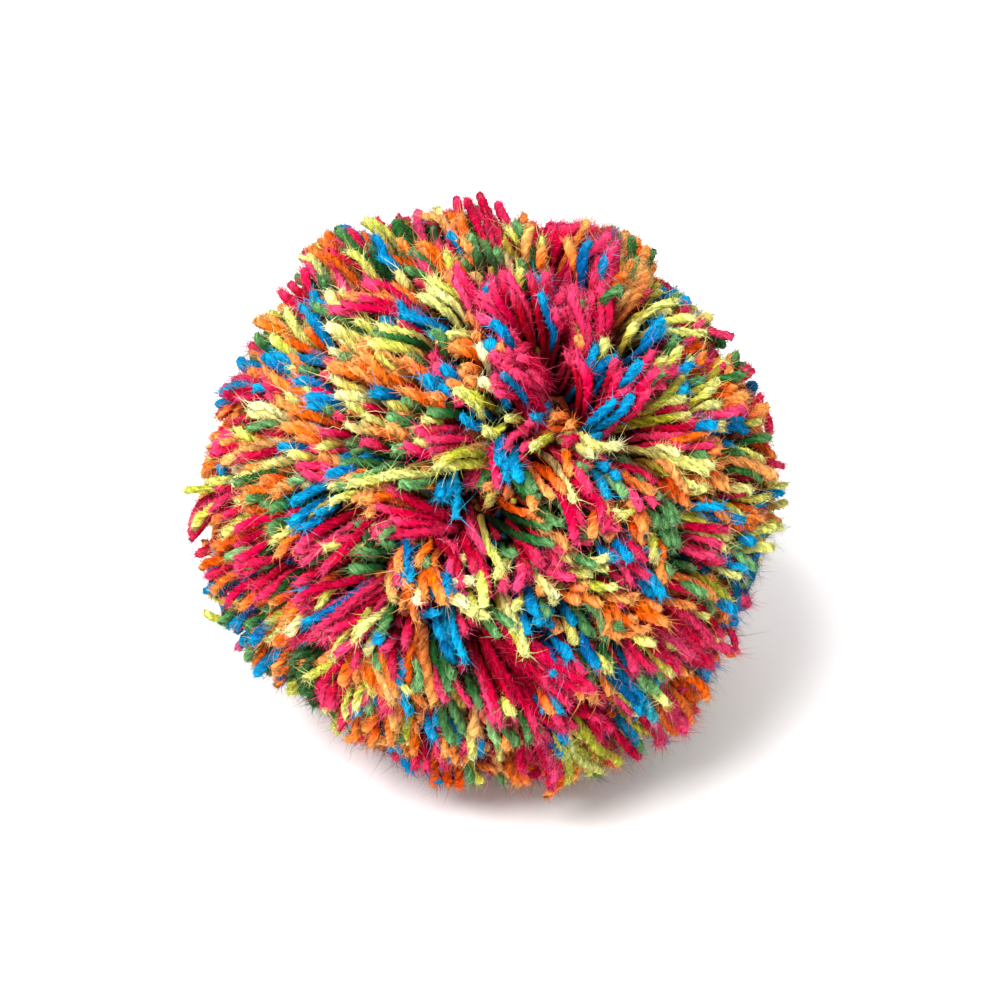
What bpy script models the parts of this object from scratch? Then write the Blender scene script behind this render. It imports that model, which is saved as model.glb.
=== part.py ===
"""A yarn pom pom, about 100 mm across, resting on a small flat spot.

It is one piece: cut yarn ends that fan out from the middle into a ball. The ends hold together in
locks, each of which leans over like a shingle, rises towards its cut tips and drops off past them.
The locks part along a winding crease near the front of the top. Metres, +Z up, with the origin under
the middle of the ball on the surface that it rests on. Azimuth 0 faces -Y and 90 faces +X.
"""

import math
from typing import NamedTuple

import bmesh
import bpy
import numpy as np

MM = 0.001

# Driving dimensions.
PILE_RADIUS = 46.0 * MM  # the ball at the foot of its locks
FLAT_SPOT_ACROSS = 30.0 * MM
LOCK_COUNT = 140
LOCK_LENGTH = 21.0 * MM
LOCK_WIDTH = 16.0 * MM
LOCK_STAND = 3.8 * MM  # how far an ordinary lock's tips stand above its foot
LOCK_UNEVENNESS = 0.35  # share by which length, width and stand vary from lock to lock
LOCK_STRAY = 0.3  # how far a lock's lean strays at random, against a full lean of 1
WEAKEST_LEAN = 0.15  # the lean at the far side of the ball from the whorl
TIPS_BEGIN = 0.4  # where a lock is highest, as a share of its half length past its middle
WHORL = (20.0, 48.0)  # azimuth and elevation that the locks lean away from
LOCKS_LIE_FLAT = 20.0  # degrees from straight down within which the locks are pressed flat
LOCKS_STAND = 45.0  # degrees from straight down past which they stand as elsewhere
SEED = 7

BALL_DIVISIONS = 5
ARC_STEPS = 12
GOLDEN_ANGLE = math.pi * (3.0 - math.sqrt(5.0))


class Tuft(NamedTuple):
    """One of the main locks: where its middle is, the way its tips lie and its size."""

    azimuth: float
    elevation: float
    lies_towards: tuple  # azimuth and elevation
    length_mm: float
    width_mm: float
    stand_mm: float


class Parting(NamedTuple):
    """A crease between locks, along the shorter arc between two directions."""

    start: tuple  # azimuth and elevation
    end: tuple
    depth_mm: float
    width_mm: float


class Swell(NamedTuple):
    """A broad rise of the whole pile, or a hollow where the height is negative."""

    azimuth: float
    elevation: float
    across_deg: float
    height_mm: float


TUFTS = [
    Tuft(85, 75, (140, 60), 24, 15, 6.0),
    Tuft(-11, 79, (-170, 75), 20, 12, 5.5),
    Tuft(26, 69, (-60, 70), 18, 12, 5.0),
    Tuft(14, 59, (-60, 50), 20, 19, 5.5),
    Tuft(54, 64, (100, 60), 18, 12, 5.0),
    Tuft(46, 52, (90, 45), 22, 14, 4.5),
    Tuft(-32, 23, (-70, 10), 34, 15, 6.0),
    Tuft(-39, 12, (-65, 0), 18, 12, 4.5),
    Tuft(-33, 6, (-50, -20), 28, 16, 5.5),
    Tuft(5, -7, (25, -40), 38, 24, 6.0),
    Tuft(13, -33, (12, -60), 20, 20, 5.5),
    Tuft(-13, -36, (-20, -60), 20, 18, 4.5),
    Tuft(30, 9, (50, -20), 24, 16, 4.5),
    Tuft(53, -16, (70, -40), 24, 18, 4.5),
    Tuft(60, 4, (90, 0), 24, 16, 5.0),
    Tuft(77, 31, (110, 25), 22, 16, 5.0),
    Tuft(89, 46, (120, 35), 22, 15, 5.0),
    Tuft(-91, 41, (-120, 30), 22, 16, 5.0),
    Tuft(-73, 22, (-100, 10), 22, 16, 5.0),
]

PARTINGS = [
    Parting((43, 64), (20, 54), 4.5, 11),
    Parting((20, 54), (0, 48), 5.0, 11),
    Parting((0, 48), (-7, 37), 5.5, 12),
    Parting((-7, 37), (-21, 28), 4.5, 11),
    Parting((-21, 28), (-38, 18), 3.0, 10),
    Parting((-7, 37), (-7, 22), 5.0, 13),
    Parting((-7, 22), (14, 15), 4.0, 11),
    Parting((20, 54), (33, 41), 4.0, 10),
    Parting((33, 41), (54, 43), 4.0, 10),
    Parting((170, -5), (215, 20), 4.0, 12),
    Parting((215, 20), (240, 5), 3.5, 11),
    Parting((130, 10), (170, -5), 3.5, 11),
]

SWELLS = [
    Swell(90, 2, 20, 4.0),
    Swell(97, 9, 22, -4.0),
    Swell(116, 32, 34, -5.5),
    Swell(165, 54, 26, -3.6),
    Swell(-140, 46, 44, 2.2),
    Swell(-84, -10, 34, 3.6),
    Swell(-66, -29, 28, 2.6),
    Swell(-56, -40, 24, -5.0),
    Swell(32, -50, 34, 1.0),
    Swell(76, -16, 34, -4.6),
    Swell(180, -20, 60, 1.6),
]

YARN_COLOUR = (0.78, 0.12, 0.20, 1.0)  # the locks' mean colour, pink over orange
YARN_ROUGHNESS = 0.95


def clear_scene():
    for obj in list(bpy.data.objects):
        bpy.data.objects.remove(obj)


def direction(azimuth_deg, elevation_deg):
    azimuth = math.radians(azimuth_deg)
    elevation = math.radians(elevation_deg)
    level = math.cos(elevation)
    return np.array([level * math.sin(azimuth), -level * math.cos(azimuth), math.sin(elevation)])


def smoothstep(low, high, values):
    share = np.clip((values - low) / (high - low), 0.0, 1.0)
    return share * share * (3.0 - 2.0 * share)


def tangent(at, towards):
    """The unit direction along the ball's surface at one place, heading for another."""
    along = towards - at * (at @ towards)
    return along / max(np.linalg.norm(along), 1e-9)


def lock_height(points, centre, lean, length, width, stand):
    """How far one lock raises the surface at each unit direction: a shingle that drops past its tips."""
    side = np.cross(centre, lean)
    along = points @ lean * PILE_RADIUS / (length / 2)
    across = points @ side * PILE_RADIUS / (width / 2)
    rise = smoothstep(-1.0, TIPS_BEGIN, along) * (1.0 - smoothstep(TIPS_BEGIN, 1.0, along))
    crown = np.clip(1.0 - across**2, 0.0, 1.0)
    return np.where(points @ centre > 0.0, stand * rise * crown, 0.0)


def ordinary_locks(rng):
    """Evenly spread locks, as (centre, lean, length, width, stand). They lean away from the whorl."""
    whorl = direction(*WHORL)
    for index in range(LOCK_COUNT):
        height = 1.0 - (2 * index + 1) / LOCK_COUNT
        level = math.sqrt(1.0 - height * height)
        turn = index * GOLDEN_ANGLE
        centre = np.array([level * math.cos(turn), level * math.sin(turn), height])
        away = -tangent(centre, whorl) * max(WEAKEST_LEAN, 0.5 + 0.5 * centre @ whorl)
        lean = away + rng.normal(size=3) * LOCK_STRAY
        lean -= centre * (centre @ lean)
        uneven = 1.0 + LOCK_UNEVENNESS * rng.uniform(-1.0, 1.0, 3)
        size = np.array([LOCK_LENGTH, LOCK_WIDTH, LOCK_STAND]) * uneven
        yield (centre, lean / np.linalg.norm(lean), *size)


def arc_distance(points, start, end):
    """The distance along the ball from each point to the arc between two directions."""
    steps = np.linspace(0.0, 1.0, ARC_STEPS)[:, None]
    arc = start * (1.0 - steps) + end * steps
    arc /= np.linalg.norm(arc, axis=1, keepdims=True)
    return np.arccos(np.clip((points @ arc.T).max(axis=1), -1.0, 1.0)) * PILE_RADIUS


def pile_radius(points):
    """The pile's radius in each unit direction."""
    raised = np.zeros(len(points))
    for lock in ordinary_locks(np.random.default_rng(SEED)):
        raised = np.maximum(raised, lock_height(points, *lock))
    for tuft in TUFTS:
        centre = direction(tuft.azimuth, tuft.elevation)
        lean = tangent(centre, direction(*tuft.lies_towards))
        size = (tuft.length_mm * MM, tuft.width_mm * MM, tuft.stand_mm * MM)
        raised = np.maximum(raised, lock_height(points, centre, lean, *size))
    for parting in PARTINGS:
        away = arc_distance(points, direction(*parting.start), direction(*parting.end))
        crease = np.exp(-((away / (parting.width_mm * MM / 2)) ** 2))
        raised -= parting.depth_mm * MM * crease
    for swell in SWELLS:
        off = np.arccos(np.clip(points @ direction(swell.azimuth, swell.elevation), -1.0, 1.0))
        raised += swell.height_mm * MM * np.exp(-((off / math.radians(swell.across_deg / 2)) ** 2))
    from_below = np.degrees(np.arccos(np.clip(-points[:, 2], -1.0, 1.0)))
    return PILE_RADIUS + raised * smoothstep(LOCKS_LIE_FLAT, LOCKS_STAND, from_below)


def stand_on_flat_spot(points):
    """Presses the lowest pile flat at height 0, and puts the middle of the ball over the origin."""
    centre_height = math.sqrt(PILE_RADIUS**2 - (FLAT_SPOT_ACROSS / 2) ** 2)
    points[:, 2] = np.maximum(points[:, 2] + centre_height, 0.0)
    points[:, :2] -= (points[:, :2].min(axis=0) + points[:, :2].max(axis=0)) / 2
    return points


def yarn_material():
    material = bpy.data.materials.new("yarn")
    material.use_nodes = True
    shader = material.node_tree.nodes["Principled BSDF"]
    shader.inputs["Base Color"].default_value = YARN_COLOUR
    shader.inputs["Roughness"].default_value = YARN_ROUGHNESS
    material.diffuse_color = YARN_COLOUR
    return material


def make_pom_pom():
    mesh = bpy.data.meshes.new("pom_pom")
    shape = bmesh.new()
    bmesh.ops.create_icosphere(shape, subdivisions=BALL_DIVISIONS, radius=1.0)
    points = np.array([vertex.co[:] for vertex in shape.verts])
    points /= np.linalg.norm(points, axis=1, keepdims=True)
    placed = stand_on_flat_spot(points * pile_radius(points)[:, None])
    for vertex, place in zip(shape.verts, placed):
        vertex.co = place
    shape.to_mesh(mesh)
    shape.free()
    mesh.shade_smooth()
    mesh.materials.append(yarn_material())
    obj = bpy.data.objects.new("pom_pom", mesh)
    bpy.context.scene.collection.objects.link(obj)
    return obj


clear_scene()
make_pom_pom()
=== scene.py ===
"""The looks of a yarn pom pom: about 3,050 two-ply strands, an under pile and a haze of loose fibres.

Every strand runs from the middle of the ball to its cut end at the outer form that the CAD solid gives.
The strands hold together in locks of one dye. The locks that face the camera are placed one by one, and
the rest follow the same habit: they lean away from a whorl near the front of the top. A few rounds of
packing then push strands that would cross apart, so that they lie beside each other.

Metres, +Z up. Azimuth 0 faces -Y and 90 faces +X.
"""

import math
from typing import NamedTuple

import bpy
import numpy as np
from mathutils import Matrix, Vector
from mathutils.bvhtree import BVHTree


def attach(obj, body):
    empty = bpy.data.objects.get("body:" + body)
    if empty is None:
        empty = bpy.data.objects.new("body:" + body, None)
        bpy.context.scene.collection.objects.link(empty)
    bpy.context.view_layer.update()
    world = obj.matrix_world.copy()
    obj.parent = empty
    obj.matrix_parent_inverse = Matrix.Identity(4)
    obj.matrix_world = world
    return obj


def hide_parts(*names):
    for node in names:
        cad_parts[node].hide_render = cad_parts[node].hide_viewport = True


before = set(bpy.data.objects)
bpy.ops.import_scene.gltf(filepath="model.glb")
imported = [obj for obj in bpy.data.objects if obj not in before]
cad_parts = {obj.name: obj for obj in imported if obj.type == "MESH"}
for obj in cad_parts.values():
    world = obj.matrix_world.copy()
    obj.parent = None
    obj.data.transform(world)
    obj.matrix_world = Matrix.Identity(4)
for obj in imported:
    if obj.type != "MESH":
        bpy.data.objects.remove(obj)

MM = 0.001
SEED = 11

# The camera. Places in the table of locks are pixels of its 1000 x 1000 view, x right and y down.
VIEW_ELEVATION = math.radians(35.0)
VIEW_PIXELS = 1000
VIEW_MIDDLE = VIEW_PIXELS / 2
LENS = 100.0
SENSOR = 36.0
VIEW_WIDTH = 168.0 * MM  # the width of the view where the ball is
BALL_PIXEL = (493.0, 493.0)

# The ball.
BALL_CENTRE = Vector((0.0, 0.0, 43.5 * MM))
CENTRE = np.array(BALL_CENTRE)
WHORL = (20.0, 48.0)  # azimuth and elevation that the locks lean away from
LEAST_LEAN = 0.75  # the lean at the far side of the ball from the whorl, against that at the whorl
MIDDLE_RADIUS = 21.0 * MM
MIDDLE_SHADE_COLOUR = (90, 8, 34)  # sRGB, 0 to 255; a dark red painted as the shade deep in the ball
MIDDLE_BANDS = 14  # how many times yarn crosses the middle
MIDDLE_RIDGE = 0.8 * MM
TIPS_PROUD = 0.6 * MM  # how far a strand may stand out of the solid, and how much further at random
TIPS_STRAY = 0.7 * MM
TIPS_STRAY_MOST = 1.7  # the limit of that, in strays

# The yarn: two soft plies twisted together.
STRAND_WIDTH = 1.75 * MM
STRAND_HALF_WIDE = 0.94 * MM  # half the strand's width across both plies
STRAND_HALF_DEEP = 0.68 * MM  # half its width over one ply
PLY_SHOULDER = 0.50 * MM  # where a ply's side is, measured across both plies
PLY_SOFTENING = 0.12  # how far the softest yarn goes from that towards round, as a share
PLAIN_WIDTH = 0.85 * STRAND_WIDTH  # where the strand is too deep in the pile for its plies to show
TWIST_PITCH = 5.4 * MM
SOFT_PITCH = 0.35  # how much longer the twist of the softest yarn is, as a share
PITCH_RANGE = (0.85, 1.25)  # from strand to strand
GIRTH_RANGE = (0.87, 1.19)
STRAND_SIDES = 6
CONTROL_POINTS = 8
CURVE_POINTS = 48
STRAND_START = 0.92 * MIDDLE_RADIUS
ROOT_SINK = 6.0 * MM  # how deep under the surface a strand's detailed part begins
PLAIN_LENGTH = 4.0 * MM  # how much of the detailed part lies deep enough to stay plain
PLY_RINGS = 2  # how many rings the plies take to form past that
FIRST_SHOWN_RING = 3  # the rings below it lie too deep to show
FEWEST_RINGS = 6

# The cut end and the unevenness of a strand.
END_FLARE = 0.08  # how much a strand widens towards its cut end, as a share, and over what length
END_FLARE_LENGTH = 2.0 * MM
END_GIRTH = 0.74  # the girth of the cut itself
END_BULGE = 0.22 * MM
END_RAGGED = 0.18 * MM
GIRTH_SWAY = 0.05
GIRTH_SWAY_LENGTH = 0.5 * MM
GIRTH_STRAY = 0.04
OUTLINE_STRAY = 0.035

# The strands of a lock lie in a flattened bunch round its middle, each a little astray.
BUNCH_SPREAD = 0.62 * STRAND_WIDTH
BUNCH_CORE = 0.35  # the first strand's place in the bunch, where each next one is 1 further out
BUNCH_WIDE = 1.25
BUNCH_DEEP = 0.9
SHORTEST_RUN = 0.3 * MM  # a lock shorter than this, seen from outside, spreads to any side
LIFT_STRAY = 0.7 * MM
ACROSS_STRAY = 0.25 * MM
DOWN_STRAY = 0.8 * MM
ROOT_STRAY = 0.4 * MM
ROOT_SPREAD = (0.6, 1.0)  # how far apart the strands are at their roots and at their tips
TIP_STRAY = 0.7 * MM
TIP_SPREAD = (0.9, 1.5)
TIP_PAST = (-0.5 * MM, 1.1 * MM)  # the mean and spread of how far a strand ends past its lock's tip
SIDE_LEAN = 0.24
END_RISE = (0.20, 0.20)  # the mean and spread of how much a strand's end lifts off the ball
ROOT_LEAN = 0.25  # how much a strand leans along its lock where it begins, and its stray
ROOT_LEAN_STRAY = 0.12
START_HANDLE = 0.45  # the handles of the curve that a strand follows, as shares of its length
END_HANDLE = 0.38
WAVE_ANGLE = (4.0, 9.0)  # radians of waving from a strand's root to its tip
WAVE_SIZE = 0.75 * MM
WAVE_OUTWARD = 0.5  # against the waving to the side


class Dye(NamedTuple):
    """One dyed yarn: its sRGB colours, 0 to 255, its girth against the others and how soft its twist is.

    kept is the share of the strands in a placed lock that are modelled. The others lie hidden under them.
    """

    colour: tuple
    pale: tuple
    deep: tuple
    girth: float
    softness: float
    kept: float


DYES = {
    "pink": Dye((232, 0, 72), (254, 78, 128), (164, 0, 28), 0.87, 0.9, 0.63),
    "orange": Dye((255, 112, 6), (255, 184, 106), (240, 80, 0), 0.91, 0.4, 0.92),
    "lime": Dye((220, 222, 78), (242, 242, 156), (178, 176, 36), 0.88, 0.35, 0.70),
    "blue": Dye((0, 122, 186), (14, 174, 222), (0, 68, 130), 0.95, 0.8, 0.50),
    "green": Dye((42, 106, 48), (126, 180, 114), (16, 60, 22), 0.88, 0.5, 0.50),
    "cream": Dye((248, 242, 140), (252, 250, 196), (218, 208, 90), 0.95, 0.4, 0.6),
    "teal": Dye((8, 140, 160), (70, 190, 200), (4, 80, 108), 0.94, 0.6, 0.6),
}
# The share of each dye in the under pile and among the locks that aren't placed one by one.
DYE_SHARES = {"pink": 0.32, "orange": 0.28, "lime": 0.19, "blue": 0.11, "green": 0.10}
SOFT_FROM = 0.5  # a yarn softer than this takes the material for soft yarn

# How the dye varies, and the shade and light painted into it. Its tone goes from the mean towards pale or
# deep.
TONE_SPREAD = 0.50
DYE_CHANGE_AT = (0.5, 0.85)  # where a strand that changes dye does so, as a share of its length
DYE_CHANGE_LENGTH = 3.0 * MM
MOTTLE = 0.12
MOTTLE_LENGTH = 2.3 * MM
ROOT_SHADE = 0.35  # painted shade: how much darker a strand is far from its cut end, and where that begins and ends
ROOT_SHADE_FROM = 2.5 * MM
ROOT_SHADE_TO = 9.0 * MM
END_PALENESS = 0.70  # how far the cut end goes towards the pale tone, and over what length: partly wear, partly painted light
END_PALE_LENGTH = 3.0 * MM
DEEP_SHADE = 0.86  # painted shade: how much the colour darkens deep in the pile, and the depths where that begins and ends
DEEP_SHADE_FROM = 0.5 * MM
DEEP_SHADE_TO = 6.0 * MM
DEEP_SHADE_POWERS = (0.88, 1.45, 1.42)  # for red, green and blue: the painted shade there is warm


class Lock(NamedTuple):
    """Strands that lie together: the pixels where they come out and where they end, and how many."""

    root_x: int
    root_y: int
    tip_x: int
    tip_y: int
    strands: int
    lift_mm: float = 0.0


# The locks on the camera's side, placed one by one and listed by dye. A second dye is the one that the
# strands end in.
LOCKS = {
    "pink": [
        (398, 226, 372, 212, 4), (432, 228, 418, 207, 2), (462, 212, 444, 197, 2), (502, 232, 480, 204, 7),
        (474, 222, 462, 210, 1), (458, 250, 438, 228, 6), (428, 278, 400, 262, 3), (378, 278, 360, 266, 2),
        (382, 262, 338, 238, 7), (420, 306, 352, 300, 5), (402, 298, 366, 290, 3), (372, 330, 350, 324, 2),
        (516, 320, 478, 306, 5), (487, 314, 481, 268, 9), (352, 254, 330, 244, 3), (336, 270, 322, 256, 2),
        (308, 272, 296, 260, 1), (326, 288, 304, 275, 4), (352, 294, 322, 280, 4), (318, 310, 284, 295, 5),
        (356, 316, 326, 308, 2), (338, 336, 324, 322, 2), (545, 336, 521, 274, 12), (505, 240, 494, 214, 2),
        (590, 286, 543, 222, 14), (604, 275, 604, 246, 2), (612, 350, 584, 285, 13), (600, 348, 578, 290, 6),
        (640, 300, 645, 286, 1), (568, 326, 557, 311, 3), (545, 352, 498, 345, 5), (684, 346, 697, 315, 6),
        (678, 304, 686, 294, 2), (560, 402, 500, 345, 16), (556, 372, 512, 350, 8), (540, 394, 494, 372, 5),
        (622, 402, 640, 352, 7), (600, 400, 574, 352, 5), (628, 412, 650, 366, 7), (600, 425, 640, 392, 7),
        (640, 396, 668, 360, 7), (650, 416, 688, 392, 6), (650, 432, 704, 436, 7), (692, 436, 707, 415, 2),
        (694, 366, 718, 352, 3), (732, 440, 756, 430, 2), (740, 466, 769, 472, 3), (750, 488, 778, 482, 3),
        (262, 358, 240, 354, 1), (258, 376, 224, 380, 3), (342, 364, 316, 356, 4), (342, 378, 322, 374, 2),
        (336, 390, 306, 386, 4), (296, 392, 276, 384, 2), (280, 394, 256, 390, 3), (258, 388, 226, 412, 5),
        (300, 434, 250, 432, 6), (290, 446, 240, 454, 6), (240, 434, 212, 446, 3), (352, 432, 326, 430, 3),
        (328, 456, 302, 462, 2), (286, 462, 262, 472, 2), (340, 474, 300, 474, 3), (232, 478, 200, 500, 6),
        (440, 362, 424, 352, 2), (444, 374, 420, 376, 3), (452, 388, 434, 384, 2), (378, 412, 356, 400, 3),
        (498, 404, 474, 406, 2), (470, 424, 420, 418, 5), (470, 434, 424, 434, 3), (386, 440, 350, 436, 3),
        (436, 456, 402, 456, 2), (492, 440, 464, 484, 5), (498, 460, 482, 484, 2), (552, 414, 516, 430, 4),
        (552, 424, 520, 452, 5), (556, 432, 604, 456, 4), (560, 444, 586, 482, 3), (620, 458, 650, 500, 5),
        (566, 470, 588, 526, 7), (596, 486, 612, 528, 5), (640, 480, 652, 500, 2), (222, 500, 198, 540, 7),
        (238, 506, 222, 520, 2), (262, 530, 232, 548, 4), (302, 512, 276, 524, 3), (268, 560, 238, 580, 5),
        (232, 566, 208, 580, 3), (276, 568, 254, 596, 4), (250, 580, 228, 600, 2), (246, 620, 228, 628, 2),
        (385, 588, 318, 632, 12), (330, 600, 296, 630, 6), (352, 610, 322, 650, 6), (366, 506, 302, 550, 9),
        (460, 524, 378, 502, 4, 1.5), (460, 538, 376, 538, 4, 1), (404, 540, 414, 582, 3),
        (426, 540, 430, 586, 4), (436, 546, 448, 592, 3), (448, 544, 475, 602, 4), (460, 505, 494, 560, 6),
        (405, 596, 425, 610, 3), (450, 612, 484, 642, 5), (516, 530, 546, 560, 5), (520, 532, 538, 574, 3),
        (545, 540, 576, 556, 5), (520, 560, 526, 602, 3), (612, 566, 640, 596, 8), (620, 540, 640, 562, 4),
        (684, 532, 722, 550, 7), (684, 544, 718, 560, 3), (722, 520, 764, 530, 6), (744, 500, 758, 500, 1),
        (736, 594, 752, 598, 1), (654, 590, 692, 622, 7), (676, 610, 712, 650, 9), (640, 618, 668, 650, 7),
        (664, 630, 692, 662, 6), (330, 680, 332, 716, 4), (338, 640, 326, 660, 2), (344, 702, 345, 732, 3),
        (310, 640, 306, 656, 1), (394, 648, 386, 668, 3), (396, 622, 400, 652, 3), (430, 670, 462, 706, 6),
        (440, 658, 456, 680, 2), (374, 684, 376, 712, 4), (380, 690, 392, 716, 3), (420, 706, 432, 736, 4),
        (478, 712, 492, 722, 2), (424, 748, 432, 778, 6), (444, 740, 462, 768, 4), (484, 754, 496, 778, 3),
        (480, 625, 556, 680, 9), (490, 640, 580, 700, 9), (500, 652, 600, 722, 9), (516, 676, 590, 738, 8),
        (500, 700, 566, 738, 6), (474, 652, 512, 722, 9), (532, 706, 542, 740, 3), (526, 744, 532, 782, 5),
        (544, 744, 552, 782, 5), (560, 645, 590, 668, 4), (592, 712, 610, 730, 3), (618, 638, 640, 676, 5),
        (604, 738, 634, 774, 3), (692, 648, 722, 664, 6), (700, 660, 722, 672, 3), (660, 664, 676, 692, 2),
        (656, 702, 688, 724, 7), (656, 716, 672, 750, 4), (672, 702, 684, 732, 3), (692, 680, 714, 686, 1),
        (412, 750, 410, 768, 1),
    ],
    "orange": [
        (404, 234, 388, 222, 2), (450, 226, 434, 211, 2), (456, 212, 440, 201, 2), (474, 240, 454, 215, 3),
        (484, 266, 462, 235, 3), (482, 272, 456, 244, 2), (430, 262, 402, 240, 3), (452, 270, 424, 244, 3),
        (406, 276, 386, 268, 2), (472, 288, 446, 270, 3), (424, 292, 372, 284, 4), (420, 298, 345, 288, 2),
        (430, 342, 372, 338, 4), (482, 344, 446, 346, 3), (480, 332, 462, 322, 2), (336, 252, 314, 233, 3),
        (352, 280, 314, 262, 4), (306, 286, 286, 279, 2), (298, 304, 270, 297, 1), (292, 336, 262, 322, 2),
        (266, 354, 242, 345, 2), (540, 258, 535, 232, 2), (523, 230, 513, 220, 1), (574, 246, 598, 224, 3),
        (582, 262, 570, 240, 2), (604, 256, 619, 232, 3), (600, 300, 613, 268, 3), (612, 298, 626, 260, 3),
        (622, 288, 634, 256, 3), (626, 304, 644, 262, 3), (642, 264, 656, 244, 3), (652, 284, 664, 271, 2),
        (586, 336, 574, 338, 2), (684, 372, 713, 342, 5), (716, 368, 729, 354, 2), (722, 398, 742, 382, 3),
        (730, 404, 753, 400, 2), (742, 394, 757, 389, 1), (757, 420, 765, 404, 2), (748, 434, 768, 432, 1),
        (672, 452, 729, 444, 5), (722, 456, 740, 478, 3), (700, 472, 741, 490, 6), (664, 462, 693, 500, 4),
        (276, 364, 252, 356, 2), (278, 374, 256, 366, 2), (312, 384, 284, 372, 3), (376, 352, 342, 348, 3),
        (362, 366, 336, 358, 2), (292, 402, 268, 392, 2), (312, 414, 284, 404, 3), (332, 426, 282, 416, 4),
        (326, 434, 292, 428, 3), (262, 434, 236, 440, 2), (240, 446, 210, 456, 1), (292, 456, 230, 480, 6),
        (286, 478, 268, 488, 3), (332, 468, 310, 474, 2), (352, 460, 330, 464, 2), (400, 362, 346, 352, 5),
        (400, 378, 360, 364, 5), (420, 380, 384, 366, 4), (428, 358, 404, 356, 1), (474, 364, 452, 356, 3),
        (492, 374, 470, 370, 2), (436, 390, 406, 384, 3), (446, 398, 424, 392, 3), (404, 436, 388, 430, 2),
        (500, 432, 432, 442, 4), (378, 462, 342, 464, 2), (440, 482, 404, 478, 2), (420, 496, 360, 494, 3),
        (592, 408, 542, 410, 4), (590, 418, 562, 434, 3), (520, 458, 558, 500, 3), (628, 468, 642, 492, 2),
        (505, 484, 494, 500, 2), (218, 508, 204, 524, 2), (278, 512, 240, 524, 5), (252, 528, 214, 552, 4),
        (234, 572, 208, 586, 3), (292, 582, 276, 618, 4), (276, 600, 256, 616, 3), (254, 622, 242, 634, 2),
        (270, 612, 264, 632, 2), (296, 612, 290, 634, 2), (300, 622, 284, 650, 3), (302, 530, 286, 560, 4),
        (440, 514, 370, 492, 4), (372, 496, 360, 510, 2), (418, 540, 418, 562, 2), (424, 560, 438, 608, 3),
        (376, 568, 410, 602, 3), (414, 598, 394, 614, 2), (500, 500, 548, 522, 3), (540, 526, 562, 536, 2),
        (602, 498, 612, 522, 4), (630, 512, 612, 538, 3), (646, 500, 652, 532, 4), (580, 556, 602, 548, 2),
        (580, 594, 606, 600, 3), (552, 598, 558, 614, 2), (600, 602, 612, 634, 4), (612, 604, 642, 602, 3),
        (600, 642, 646, 628, 4), (662, 500, 666, 522, 2), (664, 526, 662, 560, 3), (736, 512, 770, 516, 3),
        (664, 586, 700, 604, 4), (694, 586, 714, 604, 3), (712, 604, 740, 620, 4), (640, 606, 666, 620, 3),
        (264, 640, 249, 660, 3), (284, 644, 268, 668, 3), (292, 658, 276, 684, 3), (342, 650, 346, 686, 5),
        (340, 650, 366, 686, 3), (352, 648, 392, 700, 3), (402, 628, 426, 710, 5), (366, 712, 370, 744, 5),
        (390, 688, 408, 732, 5), (380, 718, 402, 754, 5), (372, 724, 386, 758, 3), (352, 728, 360, 748, 2),
        (426, 748, 434, 758, 1), (452, 742, 464, 760, 2), (446, 764, 452, 790, 3), (470, 752, 484, 766, 2),
        (476, 726, 486, 740, 2), (536, 706, 547, 724, 2), (506, 724, 516, 738, 2), (508, 740, 518, 752, 2),
        (508, 756, 520, 790, 5), (572, 746, 592, 770, 2), (584, 746, 620, 770, 4), (590, 662, 596, 700, 4),
        (604, 700, 612, 716, 2), (662, 658, 677, 696, 4), (680, 680, 699, 692, 3), (678, 690, 697, 718, 4),
        (652, 712, 660, 724, 2),
    ],
    "lime": [
        (394, 236, 354, 216, 3), (458, 220, 446, 208, 1), (484, 240, 473, 223, 2), (518, 264, 490, 221, 2),
        (518, 298, 514, 262, 2), (466, 270, 446, 247, 2), (478, 278, 460, 262, 2), (440, 286, 418, 275, 2),
        (470, 302, 424, 288, 5), (430, 334, 362, 330, 3), (480, 338, 430, 332, 2), (326, 252, 308, 243, 1),
        (334, 262, 312, 252, 2), (322, 276, 302, 263, 2), (304, 322, 264, 304, 3), (288, 326, 255, 312, 2),
        (304, 342, 284, 320, 4), (536, 252, 511, 225, 3), (554, 282, 547, 241, 2), (614, 262, 628, 242, 2),
        (566, 286, 544, 281, 2), (644, 296, 664, 283, 3), (634, 332, 640, 306, 2), (638, 320, 690, 306, 5),
        (650, 372, 660, 345, 2), (640, 408, 678, 355, 3), (712, 402, 733, 408, 2), (704, 418, 737, 420, 3),
        (753, 416, 760, 403, 1), (728, 448, 768, 463, 3), (606, 430, 690, 410, 4), (642, 444, 700, 470, 4),
        (660, 452, 690, 480, 3), (736, 482, 754, 492, 1), (756, 496, 790, 492, 1), (700, 396, 722, 388, 3),
        (302, 374, 286, 366, 1), (320, 398, 296, 398, 2), (362, 408, 338, 404, 3), (344, 434, 314, 448, 2),
        (304, 462, 282, 462, 2), (284, 482, 236, 498, 3), (412, 412, 380, 406, 3), (386, 434, 346, 418, 4),
        (492, 398, 452, 390, 4), (506, 412, 476, 422, 1, 1.5), (480, 424, 462, 404, 2, 1.5),
        (448, 428, 424, 424, 2), (432, 440, 400, 432, 3), (492, 444, 430, 456, 4), (452, 460, 344, 490, 1, 2),
        (364, 486, 318, 512, 1, 2), (450, 462, 390, 472, 1, 1), (330, 502, 273, 556, 2, 2),
        (352, 478, 324, 486, 2), (300, 478, 290, 488, 1), (544, 444, 577, 496, 2, 1), (500, 470, 484, 494, 1),
        (216, 500, 199, 520, 1), (266, 504, 250, 512, 2), (248, 512, 218, 534, 3), (238, 590, 224, 610, 2),
        (284, 616, 262, 646, 3), (342, 580, 304, 602, 2), (346, 600, 318, 648, 3), (408, 516, 362, 524, 2),
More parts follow.
